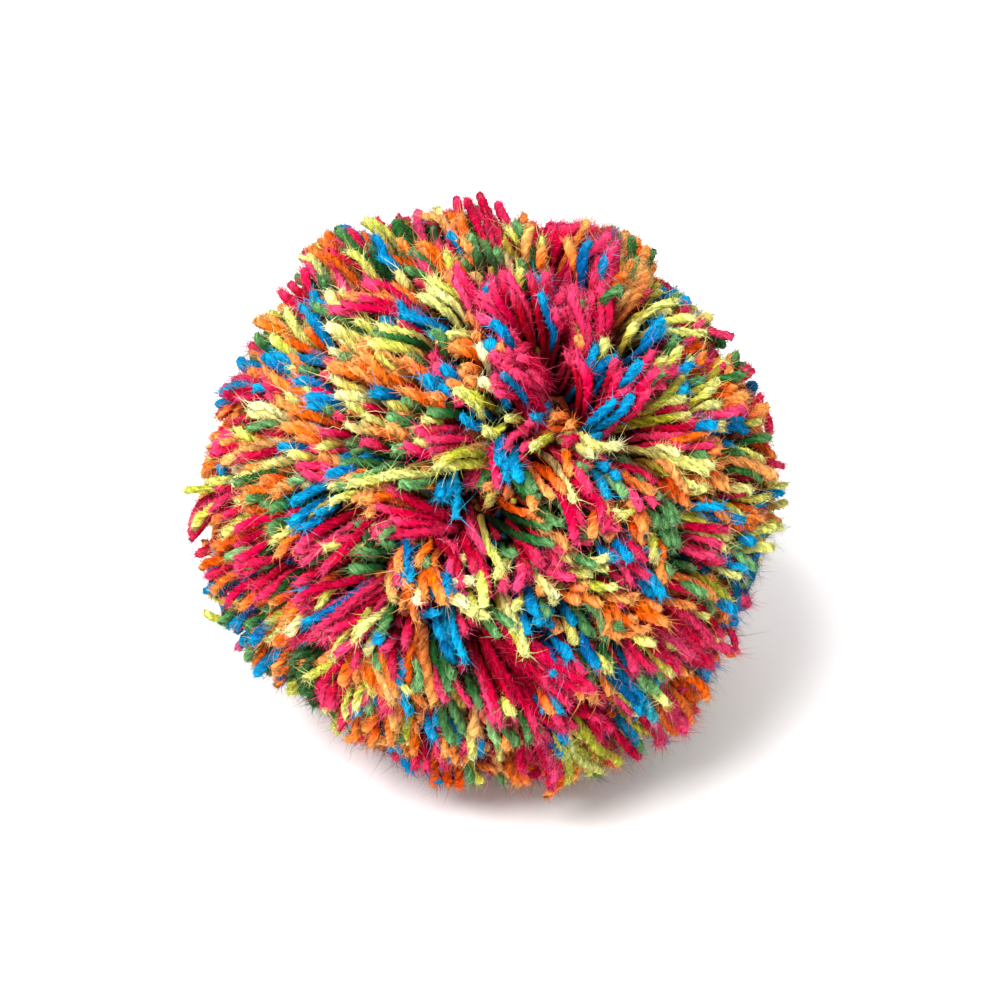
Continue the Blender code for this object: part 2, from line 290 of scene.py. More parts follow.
        (372, 520, 335, 546, 2), (362, 530, 330, 548, 1), (382, 604, 352, 645, 3), (392, 616, 388, 630, 2),
        (356, 640, 366, 658, 2), (466, 556, 482, 566, 1, 1), (480, 562, 483, 604, 2, 1.5),
        (462, 600, 490, 618, 2), (490, 520, 508, 584, 2, 1.5), (518, 562, 500, 596, 2),
        (548, 548, 574, 570, 2), (568, 578, 609, 582, 4, 1), (560, 584, 570, 602, 2),
        (502, 604, 526, 645, 4, 1), (528, 618, 532, 642, 1), (572, 620, 578, 652, 2), (634, 636, 650, 648, 2),
        (656, 496, 617, 506, 3), (686, 520, 732, 540, 5), (738, 500, 744, 514, 1), (716, 540, 742, 570, 3),
        (704, 572, 734, 598, 2), (724, 568, 738, 586, 2), (700, 604, 714, 618, 2), (706, 620, 732, 640, 2),
        (328, 704, 322, 720, 1), (336, 712, 332, 738, 2), (350, 680, 346, 722, 3), (352, 688, 365, 716, 1),
        (358, 642, 390, 699, 4), (386, 674, 402, 692, 2), (394, 710, 404, 748, 3), (428, 680, 456, 726, 3),
        (458, 720, 474, 736, 2), (462, 728, 466, 758, 3), (472, 762, 487, 782, 2), (506, 700, 526, 714, 2),
        (496, 754, 508, 776, 2), (562, 738, 584, 787, 3), (566, 742, 605, 776, 4), (570, 740, 598, 744, 2),
        (602, 678, 619, 724, 2), (608, 684, 631, 714, 2), (622, 722, 656, 742, 5), (622, 752, 642, 752, 2),
        (604, 654, 622, 662, 2), (662, 650, 677, 662, 3), (634, 650, 646, 662, 2), (660, 690, 668, 708, 2),
        (292, 686, 289, 700, 1), (250, 428, 232, 426, 1), (236, 452, 208, 460, 1),
    ],
    "cream": [
        (356, 304, 334, 292, 3), (364, 334, 335, 325, 2), (366, 354, 336, 338, 3), (290, 362, 262, 360, 2),
        (362, 392, 328, 390, 3), (292, 414, 250, 416, 4), (292, 448, 222, 477, 4), (494, 350, 480, 342, 2),
        (562, 434, 518, 458, 2, 1), (566, 432, 614, 462, 3, 1), (410, 578, 406, 598, 2),
        (422, 578, 431, 596, 2), (432, 590, 468, 592, 4, 1), (528, 568, 553, 600, 2), (604, 352, 612, 326, 1),
        (402, 326, 388, 320, 1), (300, 616, 296, 634, 2), (558, 446, 576, 480, 1), (496, 382, 486, 392, 1),
    ],
    "blue": [
        (364, 238, 343, 217, 2), (470, 246, 453, 227, 2), (506, 262, 490, 240, 2), (501, 304, 507, 270, 2),
        (388, 270, 366, 246, 2), (406, 264, 392, 248, 2), (434, 314, 397, 301, 3), (462, 330, 400, 318, 4),
        (392, 328, 370, 316, 4), (520, 339, 484, 328, 5), (344, 272, 334, 261, 1), (320, 268, 304, 258, 1),
        (314, 302, 316, 284, 1), (350, 308, 321, 299, 3), (310, 318, 308, 297, 2), (324, 348, 308, 321, 3),
        (328, 352, 282, 349, 4), (548, 300, 526, 271, 2, 1), (558, 338, 540, 296, 2, 1.5),
        (592, 246, 608, 231, 2), (594, 286, 597, 245, 4), (642, 348, 660, 321, 3), (548, 298, 576, 290, 3),
        (594, 390, 600, 350, 3), (600, 376, 618, 345, 3), (626, 374, 637, 360, 1), (590, 436, 608, 420, 2),
        (600, 430, 618, 402, 3), (682, 390, 697, 380, 3), (720, 384, 735, 360, 2), (700, 412, 734, 412, 2),
        (752, 405, 771, 380, 2), (728, 412, 758, 421, 3), (692, 440, 743, 433, 4), (700, 456, 722, 464, 2),
        (776, 490, 789, 481, 1), (692, 502, 724, 494, 4), (700, 428, 718, 424, 1), (256, 366, 232, 364, 2),
        (284, 378, 254, 376, 4), (322, 378, 302, 374, 3), (250, 386, 219, 398, 3), (260, 404, 244, 412, 1),
        (340, 402, 306, 406, 4), (236, 418, 222, 432, 2), (262, 446, 226, 464, 3), (316, 446, 290, 440, 2),
        (358, 440, 324, 467, 4), (346, 446, 316, 456, 1), (326, 484, 292, 500, 4), (318, 500, 294, 516, 3),
        (434, 366, 418, 366, 1), (474, 382, 440, 370, 4), (392, 398, 354, 388, 4), (376, 442, 340, 454, 3),
        (448, 462, 450, 510, 5, 1.5), (440, 470, 440, 508, 2), (500, 420, 506, 484, 3, 1.5),
        (508, 436, 518, 484, 3, 1.5), (512, 398, 494, 384, 2), (554, 384, 532, 396, 2),
        (604, 464, 609, 492, 3), (220, 560, 206, 572, 2), (254, 572, 232, 604, 3), (214, 588, 203, 598, 1),
        (250, 604, 226, 618, 1), (224, 618, 214, 629, 1), (260, 624, 247, 643, 2), (298, 590, 300, 608, 2),
        (284, 630, 272, 648, 1), (396, 530, 382, 524, 2), (394, 540, 401, 578, 4), (402, 610, 446, 614, 3),
        (434, 618, 448, 660, 4), (446, 618, 458, 662, 4), (372, 626, 384, 654, 2), (522, 596, 538, 636, 3),
        (558, 600, 572, 630, 3), (556, 622, 552, 634, 1), (584, 628, 588, 654, 2), (606, 536, 618, 562, 4),
        (636, 566, 654, 600, 4), (634, 520, 642, 542, 2), (642, 532, 652, 552, 3), (668, 556, 726, 566, 5),
        (736, 574, 757, 570, 1), (732, 584, 750, 604, 3), (718, 594, 733, 611, 2), (762, 504, 779, 505, 1),
        (750, 536, 759, 541, 1), (730, 632, 744, 630, 1), (282, 656, 268, 678, 3), (304, 642, 308, 662, 1),
        (370, 676, 366, 690, 1), (388, 662, 404, 692, 3), (398, 676, 415, 713, 3), (356, 708, 352, 722, 1),
        (430, 700, 438, 732, 2), (420, 728, 430, 748, 2), (440, 728, 456, 742, 2), (468, 734, 480, 756, 4),
        (402, 750, 406, 763, 1), (440, 750, 444, 761, 1), (436, 760, 446, 792, 2), (540, 730, 557, 750, 3),
        (552, 708, 560, 722, 1), (612, 728, 616, 752, 3), (608, 672, 648, 716, 5), (578, 660, 582, 694, 4),
        (552, 652, 564, 670, 3), (640, 692, 653, 708, 3), (646, 726, 660, 744, 2), (704, 670, 714, 677, 1),
    ],
    "blue to green": [
        (616, 448, 664, 500, 4), (630, 444, 676, 524, 3), (650, 470, 684, 552, 3),
    ],
    "green": [
        (420, 238, 397, 215, 4), (400, 246, 390, 233, 1), (442, 230, 428, 211, 2), (476, 226, 461, 203, 3),
        (494, 268, 476, 232, 3), (450, 274, 404, 257, 4), (388, 276, 344, 254, 4), (380, 316, 342, 322, 2),
        (348, 246, 326, 232, 2), (354, 268, 332, 252, 2), (312, 284, 290, 273, 2), (352, 322, 312, 314, 4),
        (300, 340, 252, 324, 3), (322, 344, 290, 320, 2), (292, 348, 262, 340, 1), (546, 282, 513, 239, 4),
        (612, 256, 630, 231, 2), (634, 250, 643, 233, 2), (600, 303, 624, 297, 1), (640, 286, 648, 274, 2),
        (658, 312, 677, 287, 3), (442, 340, 426, 340, 1), (672, 356, 678, 342, 2), (690, 380, 717, 374, 2),
        (668, 392, 682, 378, 3), (728, 384, 739, 373, 1), (742, 448, 767, 437, 2), (726, 456, 744, 462, 1),
        (740, 474, 773, 480, 2), (256, 352, 236, 353, 1), (322, 366, 290, 362, 3), (366, 374, 338, 368, 2),
        (316, 394, 284, 384, 3), (350, 414, 316, 412, 2), (288, 424, 244, 424, 1), (382, 464, 334, 478, 3),
        (298, 464, 276, 472, 2), (270, 478, 242, 488, 1), (222, 478, 202, 486, 1), (290, 488, 256, 500, 3),
        (420, 352, 396, 344, 3), (400, 364, 382, 354, 2), (414, 398, 390, 396, 2), (412, 424, 378, 422, 3),
        (464, 404, 420, 410, 3), (390, 448, 350, 454, 3), (430, 448, 396, 448, 2), (404, 462, 338, 482, 3),
        (436, 472, 400, 478, 1), (540, 408, 498, 410, 3), (572, 456, 600, 472, 3), (618, 470, 622, 494, 2),
        (520, 464, 546, 500, 3), (488, 506, 548, 532, 3, 1), (522, 490, 572, 518, 4), (570, 520, 592, 546, 3),
        (286, 524, 266, 532, 2), (286, 500, 274, 512, 2), (214, 546, 206, 560, 1), (240, 550, 224, 558, 2),
        (272, 552, 242, 557, 3), (244, 560, 232, 567, 1), (284, 572, 268, 594, 2), (226, 608, 216, 616, 1),
        (264, 612, 250, 624, 2), (344, 556, 304, 566, 3), (346, 566, 302, 590, 4), (384, 562, 345, 542, 3),
        (392, 556, 362, 540, 2), (376, 578, 350, 564, 3), (386, 600, 384, 624, 2), (484, 602, 502, 622, 4),
        (505, 548, 530, 562, 2), (546, 566, 567, 578, 2), (536, 598, 543, 614, 2), (618, 622, 641, 620, 2),
        (580, 600, 597, 642, 3), (668, 490, 680, 530, 4), (674, 520, 684, 556, 3), (664, 560, 668, 582, 2),
        (672, 570, 718, 574, 3), (700, 580, 730, 600, 3), (722, 538, 757, 556, 6), (684, 586, 697, 596, 1),
        (758, 506, 777, 517, 2), (270, 646, 257, 665, 3), (300, 652, 286, 658, 1), (300, 658, 284, 692, 4),
        (304, 668, 300, 703, 3), (316, 670, 306, 708, 3), (320, 648, 328, 684, 3), (364, 650, 372, 672, 1),
        (398, 652, 416, 692, 3), (432, 648, 456, 692, 3), (358, 690, 367, 722, 2), (368, 740, 371, 753, 1),
        (408, 728, 414, 752, 2), (440, 700, 452, 738, 3), (464, 682, 490, 714, 4), (464, 770, 468, 783, 1),
        (486, 728, 502, 750, 4), (494, 778, 506, 790, 1), (516, 716, 532, 742, 3), (600, 648, 604, 680, 3),
        (622, 670, 640, 690, 2), (644, 662, 657, 682, 3), (640, 680, 658, 694, 2), (684, 650, 694, 682, 3),
        (672, 668, 692, 682, 1), (688, 696, 701, 712, 2), (644, 742, 653, 751, 1), (584, 768, 597, 776, 1),
    ],
    "teal": [
        (444, 338, 427, 334, 1), (290, 366, 274, 366, 2), (262, 340, 252, 330, 1), (452, 736, 444, 746, 1),
        (640, 700, 650, 716, 1), (716, 640, 730, 652, 1),
    ],
}

# The deepest gaps between the locks: the pixel of each one's middle and its radius in pixels.
GAPS = [
    (562, 374, 9), (566, 392, 7), (570, 330, 6), (656, 392, 8), (445, 562, 9), (470, 566, 6), (492, 420, 8),
    (472, 414, 5), (540, 400, 6), (252, 542, 6), (596, 620, 7), (410, 612, 7), (640, 424, 6), (560, 512, 6),
    (352, 536, 7), (418, 700, 5), (592, 510, 6), (332, 600, 5),
]
GAP_HEIGHT = 24.0 * MM  # from the middle's surface to where a gap has its full radius
GAP_WIDEST = 1.3  # against that radius
GAP_MARGIN = 0.8 * MM
GAP_STEP = 0.5

# The rest of the ball, which the camera doesn't face.
FILL_LOCKS = 1200  # over the whole ball, before those that would fall among the placed ones are dropped
FILL_CLEARANCE = 3.4 * MM
FILL_LENGTH = (5.0 * MM, 12.0 * MM)
FILL_STRANDS = (1, 4)
FILL_PLACE_STRAY = 0.02
FILL_LEAN_STRAY = 0.40
BIG_TUFTS = 44  # of those locks
BIG_TUFT_LENGTH = (11.0 * MM, 17.0 * MM)
BIG_TUFT_STRANDS = (8, 16)
DYE_PATCHES = 170  # patches of the ball where one dye prevails
DYE_PATCH_HOLD = 0.6  # the share of locks that keep to their patch's dye
DYE_CHANGE_SHARE = 0.08  # the share of strands that change dye along their length

# The under pile: plain strands just below the detailed ones.
UNDER_STRANDS = 2100
UNDER_DEPTH = (3.2 * MM, 7.0 * MM)
UNDER_START = 0.9 * MIDDLE_RADIUS
UNDER_PLACE_STRAY = 0.03
UNDER_LEAN = 3.0 * MM
UNDER_LEAN_STRAY = 1.2 * MM
UNDER_SIDES = 4
UNDER_RINGS = 3
UNDER_RADIUS = 0.85 * MM
UNDER_GIRTH_RANGE = (0.85, 1.15)
UNDER_END_GIRTH = 0.7
UNDER_END_BULGE = 0.4 * MM
# How much of its dye the under pile keeps: it is darkened as painted shade.
UNDER_LIGHT = 0.8

# Packing.
PACKING_ROUNDS = 14
PACKING_GAP = 1.34 * MM  # the least distance between two strands' axes
PACKING_STEP = 0.35
PACKING_ROOT_STEP = 0.35  # how freely a strand's root moves, against its tip
STRAIGHTENING = 0.1  # how far each round draws the strands towards straight

# Loose fibres: a nap along the strands, brushes at their cut ends, and long stray ones. A range named
# WHITE is the least and the most white that is mixed into their colours, and a range named LIGHT scales
# them: paler than their strands, partly as thin fibres' own paleness and partly as painted highlight.
CURLED_FIBRES = 80000
CURLED_LENGTH = (0.7 * MM, 2.1 * MM)
CURLED_LEVELS = 2
STRAIGHT_FIBRES = 168000
STRAIGHT_LENGTH = (0.35 * MM, 1.0 * MM)
STRAIGHT_LEVELS = 1
NAP_RADIUS = 0.042 * MM
NAP_DEPTH = 4.5 * MM  # how deep in the pile a strand still carries a nap
NAP_START = 0.60 * MM  # from the strand's axis
NAP_LIFT = (0.15, 1.3)
NAP_TURN = 0.6
NAP_WEIGHTS = (0.8, 0.9)  # how much grows on a hard yarn, and how much more on a soft one
NAP_INWARD = -0.2  # a fibre on a side that faces inward by more than this moves to the other side
NAP_FORWARD = 0.75  # the share that point to the strand's cut end
NAP_BEND = 0.8
NAP_LIGHT = (0.8, 1.45)
NAP_WHITE = (0.0, 0.07)
BRUSH_FIBRES = 40000
BRUSH_LENGTH = (0.3 * MM, 0.75 * MM)
BRUSH_LEVELS = 2
BRUSH_RADIUS = 0.042 * MM
BRUSH_OFF = 0.78 * MM  # how far from the strand's axis they start at most, and how far back
BRUSH_BACK = 0.5 * MM
BRUSH_SPLAY = 0.4
BRUSH_TURN = 0.14
BRUSH_WEIGHTS = (0.7, 0.6)
BRUSH_BEND = 0.30 * MM
BRUSH_LIGHT = (0.8, 1.2)
BRUSH_WHITE = (0.0, 0.15)
STRAY_FIBRES = 4200
STRAY_LENGTH = (1.2 * MM, 3.4 * MM)
STRAY_LEVELS = 7
STRAY_RADIUS = 0.034 * MM
STRAY_DEPTH = 3.0 * MM  # how deep in the pile a strand still sheds them
STRAY_OUTWARD = 0.8
STRAY_ALONG = 0.7
STRAY_TURN = 0.8
STRAY_BEND = 0.4
STRAY_CURL = 0.26 * MM  # the radius of a stray fibre's curls
STRAY_CURL_PITCH = 1.7 * MM
STRAY_WHITE = (0.03, 0.40)
FIBRE_TURN = 0.8  # how far a fibre's flat side turns at random from facing out of the pile
FIBRE_TAPER = 0.5
FIBRE_LIT_ALONG = 0.7  # how much its way and straight up count in the way it is shaded to face
FIBRE_LIT_ABOVE = 0.4

# The UV maps. Each strand and fibre has a cell of its own in the square that colours are baked to.
UV_INSET = 0.06  # the share of a strand's cell left empty round its edge
UV_BODY = 0.96  # the shares of the rest for its side and for its cut end
UV_CAP = 0.035
UV_TALL = 4.0  # how many times as tall as wide a strand's cell is
UV_FIBRE_INSET = 0.1
FIBRE_GIRTH = 6.0  # the way round any strand in the map that its wool follows; the way along is in mm
FIBRE_SHIFT = 400.0  # how far along it a strand's place may be
FIBRE_STRETCH = 100.0  # its size for all the loose fibres of a piece

STRANDS_PER_PIECE = 700
FLOOR_CLEARANCE = 0.1 * MM
FLOOR_SIZE = 4.0
FLOOR_DROP = 0.4 * MM
FLOOR_COLOUR = (0.93, 0.93, 0.93)
WORLD_STRENGTH = 1.0
SUN_FROM = (-0.36, -0.42, 0.82)
SUN_STRENGTH = 3.9
SUN_WIDTH = math.radians(28.0)
GOLDEN_ANGLE = math.pi * (3.0 - math.sqrt(5.0))
DYE_NAMES = list(DYE_SHARES)
rng = np.random.default_rng(SEED)


# Colours and directions.

def linear(srgb):
    """A 0 to 255 sRGB colour as linear light."""
    share = np.asarray(srgb, dtype=float) / 255.0
    return np.where(share <= 0.04045, share / 12.92, ((share + 0.055) / 1.055) ** 2.4)


def unit(vectors):
    return vectors / np.maximum(np.linalg.norm(vectors, axis=-1, keepdims=True), 1e-12)


def direction(azimuth_deg, elevation_deg):
    azimuth = math.radians(azimuth_deg)
    elevation = math.radians(elevation_deg)
    level = math.cos(elevation)
    return np.array([level * math.sin(azimuth), -level * math.cos(azimuth), math.sin(elevation)])


def spiral_directions(count):
    """Directions spread evenly over a sphere."""
    index = np.arange(count)
    height = 1.0 - (2.0 * index + 1.0) / count
    level = np.sqrt(1.0 - height**2)
    turn = index * GOLDEN_ANGLE
    return np.stack([level * np.cos(turn), level * np.sin(turn), height], axis=1)


def any_side(along):
    """A random direction square to each one given."""
    return unit(np.cross(along, rng.normal(size=along.shape)))


def smoothstep(low, high, values):
    share = np.clip((values - low) / (high - low), 0.0, 1.0)
    return share * share * (3.0 - 2.0 * share)


def lengths_along(points):
    """The length of a path up to each of its points."""
    return np.concatenate([[0.0], np.cumsum(np.linalg.norm(np.diff(points, axis=0), axis=1))])


# The outer form, read from the CAD solid.

class OuterForm:
    """The CAD solid's surface as a radius from the ball's centre in every direction."""

    def __init__(self, node, azimuths=240, elevations=121):
        mesh = node.data
        mesh.calc_loop_triangles()
        corners = [vertex.co for vertex in mesh.vertices]
        triangles = [tuple(triangle.vertices) for triangle in mesh.loop_triangles]
        self.tree = BVHTree.FromPolygons(corners, triangles)
        self.azimuths = azimuths
        self.elevations = elevations
        self.table = np.empty((elevations, azimuths))
        for row in range(elevations):
            elevation = 180.0 * row / (elevations - 1) - 90.0
            for column in range(azimuths):
                ray = Vector(direction(360.0 * column / azimuths, elevation))
                hit = self.tree.ray_cast(BALL_CENTRE, ray)[0]
                self.table[row, column] = (hit - BALL_CENTRE).length

    def radius(self, ways):
        """The radius in each unit direction, between the table's entries."""
        azimuth = np.degrees(np.arctan2(ways[..., 0], -ways[..., 1])) % 360.0
        elevation = np.degrees(np.arcsin(np.clip(ways[..., 2], -1.0, 1.0)))
        column = azimuth / 360.0 * self.azimuths
        row = (elevation + 90.0) / 180.0 * (self.elevations - 1)
        left = np.floor(column).astype(int)
        low = np.clip(np.floor(row).astype(int), 0, self.elevations - 2)
        across = column - left
        up = row - low
        left %= self.azimuths
        right = (left + 1) % self.azimuths
        lower = self.table[low, left] * (1 - across) + self.table[low, right] * across
        upper = self.table[low + 1, left] * (1 - across) + self.table[low + 1, right] * across
        return lower * (1 - up) + upper * up

    def depth(self, points):
        """How deep points lie in the pile, below the solid's surface."""
        arms = points - CENTRE
        reach = np.linalg.norm(arms, axis=-1)
        return self.radius(arms / reach[..., None]) - reach

    def keep_in(self, points, proud):
        """The points, with those that stand out too far brought back to the surface."""
        arms = points - CENTRE
        reach = np.linalg.norm(arms, axis=-1)
        limit = self.radius(arms / reach[..., None]) + proud
        return CENTRE + arms * np.minimum(1.0, limit / reach)[..., None]


# The camera.

def camera_axes():
    right = np.array([1.0, 0.0, 0.0])
    forward = np.array([0.0, math.cos(VIEW_ELEVATION), -math.sin(VIEW_ELEVATION)])
    up = np.cross(right, forward)
    return right, up, forward


def camera_place():
    """Where the camera stands for the ball's centre to show at its pixel."""
    right, up, forward = camera_axes()
    pixel = VIEW_WIDTH / VIEW_PIXELS
    aim = CENTRE + right * (VIEW_MIDDLE - BALL_PIXEL[0]) * pixel - up * (VIEW_MIDDLE - BALL_PIXEL[1]) * pixel
    return aim - forward * VIEW_WIDTH * LENS / SENSOR


def at_pixel(form, x, y):
    """The point of the outer form that shows at a pixel. Past the outline, it is level with the centre."""
    right, up, forward = camera_axes()
    place = camera_place()
    spread = SENSOR / LENS / VIEW_PIXELS
    ray = unit(forward + right * (x - VIEW_MIDDLE) * spread + up * (VIEW_MIDDLE - y) * spread)
    hit = form.tree.ray_cast(Vector(place), Vector(ray))[0]
    if hit is not None:
        return np.array(hit)
    return place + ray * (ray @ (CENTRE - place))


def make_camera():
    right, up, forward = camera_axes()
    data = bpy.data.cameras.new("camera")
    data.lens = LENS
    data.sensor_width = SENSOR
    camera = bpy.data.objects.new("camera", data)
    turn = Matrix((right, up, -forward)).transposed()
    camera.matrix_world = Matrix.Translation(Vector(camera_place())) @ turn.to_4x4()
    bpy.context.scene.collection.objects.link(camera)
    bpy.context.scene.camera = camera


# Locks and strands.

class Bundle(NamedTuple):
    """A lock in space: where its strands come out of the pile and where they end, on the outer form."""

    root: np.ndarray
    tip: np.ndarray
    strands: int
    dye: str
    end_dye: str
    lift: float


def placed_bundles(form):
    bundles = []
    for dyes, rows in LOCKS.items():
        dye, _, end_dye = dyes.partition(" to ")
        for row in rows:
            lock = Lock(*row)
            root = at_pixel(form, lock.root_x, lock.root_y)
            tip = at_pixel(form, lock.tip_x, lock.tip_y)
            strands = max(1, round(lock.strands * DYES[dye].kept))
            bundles.append(Bundle(root, tip, strands, dye, end_dye or dye, lock.lift_mm * MM))
    return bundles


def lean_at(ways):
    """The way that the locks lie: away from the whorl, less so further round the ball."""
    whorl = direction(*WHORL)
    towards = whorl - ways * (ways @ whorl)[..., None]
    strength = LEAST_LEAN + (1.0 - LEAST_LEAN) * np.clip(0.5 + 0.5 * (ways @ whorl), 0.0, 1.0)
    return -unit(towards) * strength[..., None]


def dye_picker():
    """A function that picks a dye for a place: mostly its patch's, else any."""
    shares = np.array([DYE_SHARES[name] for name in DYE_NAMES])
    patch_ways = unit(rng.normal(size=(DYE_PATCHES, 3)))
    patch_dyes = rng.choice(len(DYE_NAMES), DYE_PATCHES, p=shares)

    def pick(way):
        if rng.random() < DYE_PATCH_HOLD:
            return DYE_NAMES[patch_dyes[np.argmax(patch_ways @ way)]]
        return DYE_NAMES[rng.choice(len(DYE_NAMES), p=shares)]

    return pick


def fill_bundles(form, placed):
    """Locks for the rest of the ball, clear of the placed ones."""
    pick_dye = dye_picker()
    taken = np.array([
        point for bundle in placed for point in (bundle.root, bundle.tip, (bundle.root + bundle.tip) / 2)])
    bundles = []
    big = set(rng.choice(FILL_LOCKS, BIG_TUFTS, replace=False))
    for index, way in enumerate(spiral_directions(FILL_LOCKS)):
        way = unit(way + rng.normal(size=3) * FILL_PLACE_STRAY)
        tip = CENTRE + way * form.radius(way)
        if np.min(np.linalg.norm(taken - tip, axis=1)) < FILL_CLEARANCE:
            continue
        length = rng.uniform(*(BIG_TUFT_LENGTH if index in big else FILL_LENGTH))
        strands = rng.integers(*(BIG_TUFT_STRANDS if index in big else FILL_STRANDS))
        lean = lean_at(way) + rng.normal(size=3) * FILL_LEAN_STRAY
        back = unit(tip - CENTRE - length * (lean - way * (lean @ way)))
        root = CENTRE + back * form.radius(back)
        dye = pick_dye(way)
        bundles.append(Bundle(root, tip, int(strands), dye, dye, 0.0))
    return bundles


def strand_paths(form, bundle):
    """The control points of each strand in a bundle, from under the pile to its cut end."""
    out = unit((bundle.root + bundle.tip) / 2 - CENTRE)
    run = bundle.tip - bundle.root
    side = np.cross(out, run)
    side = unit(side) if np.linalg.norm(side) > SHORTEST_RUN else unit(np.cross(out, rng.normal(size=3)))
    lift = bundle.lift + rng.normal() * LIFT_STRAY
    turn = rng.uniform(0.0, math.tau)
    share = np.linspace(0.0, 1.0, CONTROL_POINTS)[:, None]
    paths = []
    for number in range(bundle.strands):
        spread = BUNCH_SPREAD * math.sqrt(number + BUNCH_CORE)
        angle = turn + number * GOLDEN_ANGLE
        across = spread * math.cos(angle) * BUNCH_WIDE + rng.normal() * ACROSS_STRAY
        down = abs(spread * math.sin(angle)) * BUNCH_DEEP + rng.uniform(0.0, DOWN_STRAY) - lift
        root = bundle.root + side * across * rng.uniform(*ROOT_SPREAD) + rng.normal(size=3) * ROOT_STRAY
        tip = bundle.tip + side * across * rng.uniform(*TIP_SPREAD) + rng.normal(size=3) * TIP_STRAY
        tip += unit(run) * rng.normal(*TIP_PAST)
        root_way = unit(root - CENTRE)
        tip_way = unit(tip - CENTRE)
        start = root - root_way * (ROOT_SINK + max(0.0, down))
        end = tip - tip_way * down
        length = np.linalg.norm(end - start)
        along = unit(unit(run) + side * rng.normal() * SIDE_LEAN)
        finish = unit(along + tip_way * rng.normal(*END_RISE))
        begin = unit(root_way + ROOT_LEAN * along + rng.normal(size=3) * ROOT_LEAN_STRAY)
        path = (
            (1 - share) ** 3 * start
            + 3 * (1 - share) ** 2 * share * (start + begin * length * START_HANDLE)
            + 3 * (1 - share) * share**2 * (end - finish * length * END_HANDLE)
            + share**3 * end
        )
        wave = np.sin(share * rng.uniform(*WAVE_ANGLE) + rng.uniform(0.0, math.tau))
        path += wave * share * (side * rng.normal() + out * rng.normal() * WAVE_OUTWARD) * WAVE_SIZE
        paths.append(path)
    return paths


def under_paths(form):
    """The plain strands below the detailed ones. They stand out from the middle and lean a little."""
    stray = rng.normal(size=(UNDER_STRANDS, 3)) * UNDER_PLACE_STRAY
    ways = unit(spiral_directions(UNDER_STRANDS) + stray)
    ends = form.radius(ways) - rng.uniform(*UNDER_DEPTH, UNDER_STRANDS)
    lean = lean_at(ways) * UNDER_LEAN + rng.normal(size=ways.shape) * UNDER_LEAN_STRAY
    share = np.linspace(0.0, 1.0, CONTROL_POINTS)[None, :, None]
    reach = UNDER_START + (ends[:, None, None] - UNDER_START) * share
    return CENTRE + ways[:, None, :] * reach + lean[:, None, :] * share**2


def close_pairs(points, owners, reach):
    """Pairs of points of different strands that are closer than reach, found through a grid of cells."""
    cells = np.floor(points / reach).astype(np.int64)
    cells -= cells.min(axis=0) - 1
    size = cells.max(axis=0) + 2
    keys = (cells[:, 0] * size[1] + cells[:, 1]) * size[2] + cells[:, 2]
    order = np.argsort(keys, kind="stable")
    ranked = keys[order]
    firsts = []
    seconds = []
    for x, y, z in np.ndindex(3, 3, 3):
        shift = ((x - 1) * size[1] + y - 1) * size[2] + z - 1
        if shift < 0:
            continue
        start = np.searchsorted(ranked, ranked + shift, side="left")
        stop = np.searchsorted(ranked, ranked + shift, side="right")
        if shift == 0:
            start = np.arange(len(ranked)) + 1
        for step in range(int((stop - start).max())):
            found = np.nonzero(start + step < stop)[0]
            first = order[found]
            second = order[start[found] + step]
            near = np.linalg.norm(points[first] - points[second], axis=1) < reach
            near &= owners[first] != owners[second]
            firsts.append(first[near])
            seconds.append(second[near])
    return np.concatenate(firsts), np.concatenate(seconds)


def gap_axes(form):
    """The way out of the ball along each gap's middle, and the gap's radius at the surface."""
    axes = np.array([unit(at_pixel(form, x, y) - CENTRE) for x, y, _ in GAPS])
    radii = np.array([radius for _, _, radius in GAPS]) * VIEW_WIDTH / VIEW_PIXELS
    return axes, radii


def push_from_gaps(points, axes, radii):
    """How far each point must move to leave the gaps clear. The gaps narrow towards the middle."""
    moved = np.zeros_like(points)
    arms = points - CENTRE
    for axis, radius in zip(axes, radii):
        along = arms @ axis
        off = arms - along[:, None] * axis
        distance = np.maximum(np.linalg.norm(off, axis=1), 1e-9)
        clear = radius * np.clip((along - MIDDLE_RADIUS) / GAP_HEIGHT, 0.0, GAP_WIDEST)
        missing = np.clip(clear + GAP_MARGIN * (clear > 0) - distance, 0.0, None)
        moved += off / distance[:, None] * missing[:, None] * GAP_STEP
    return moved


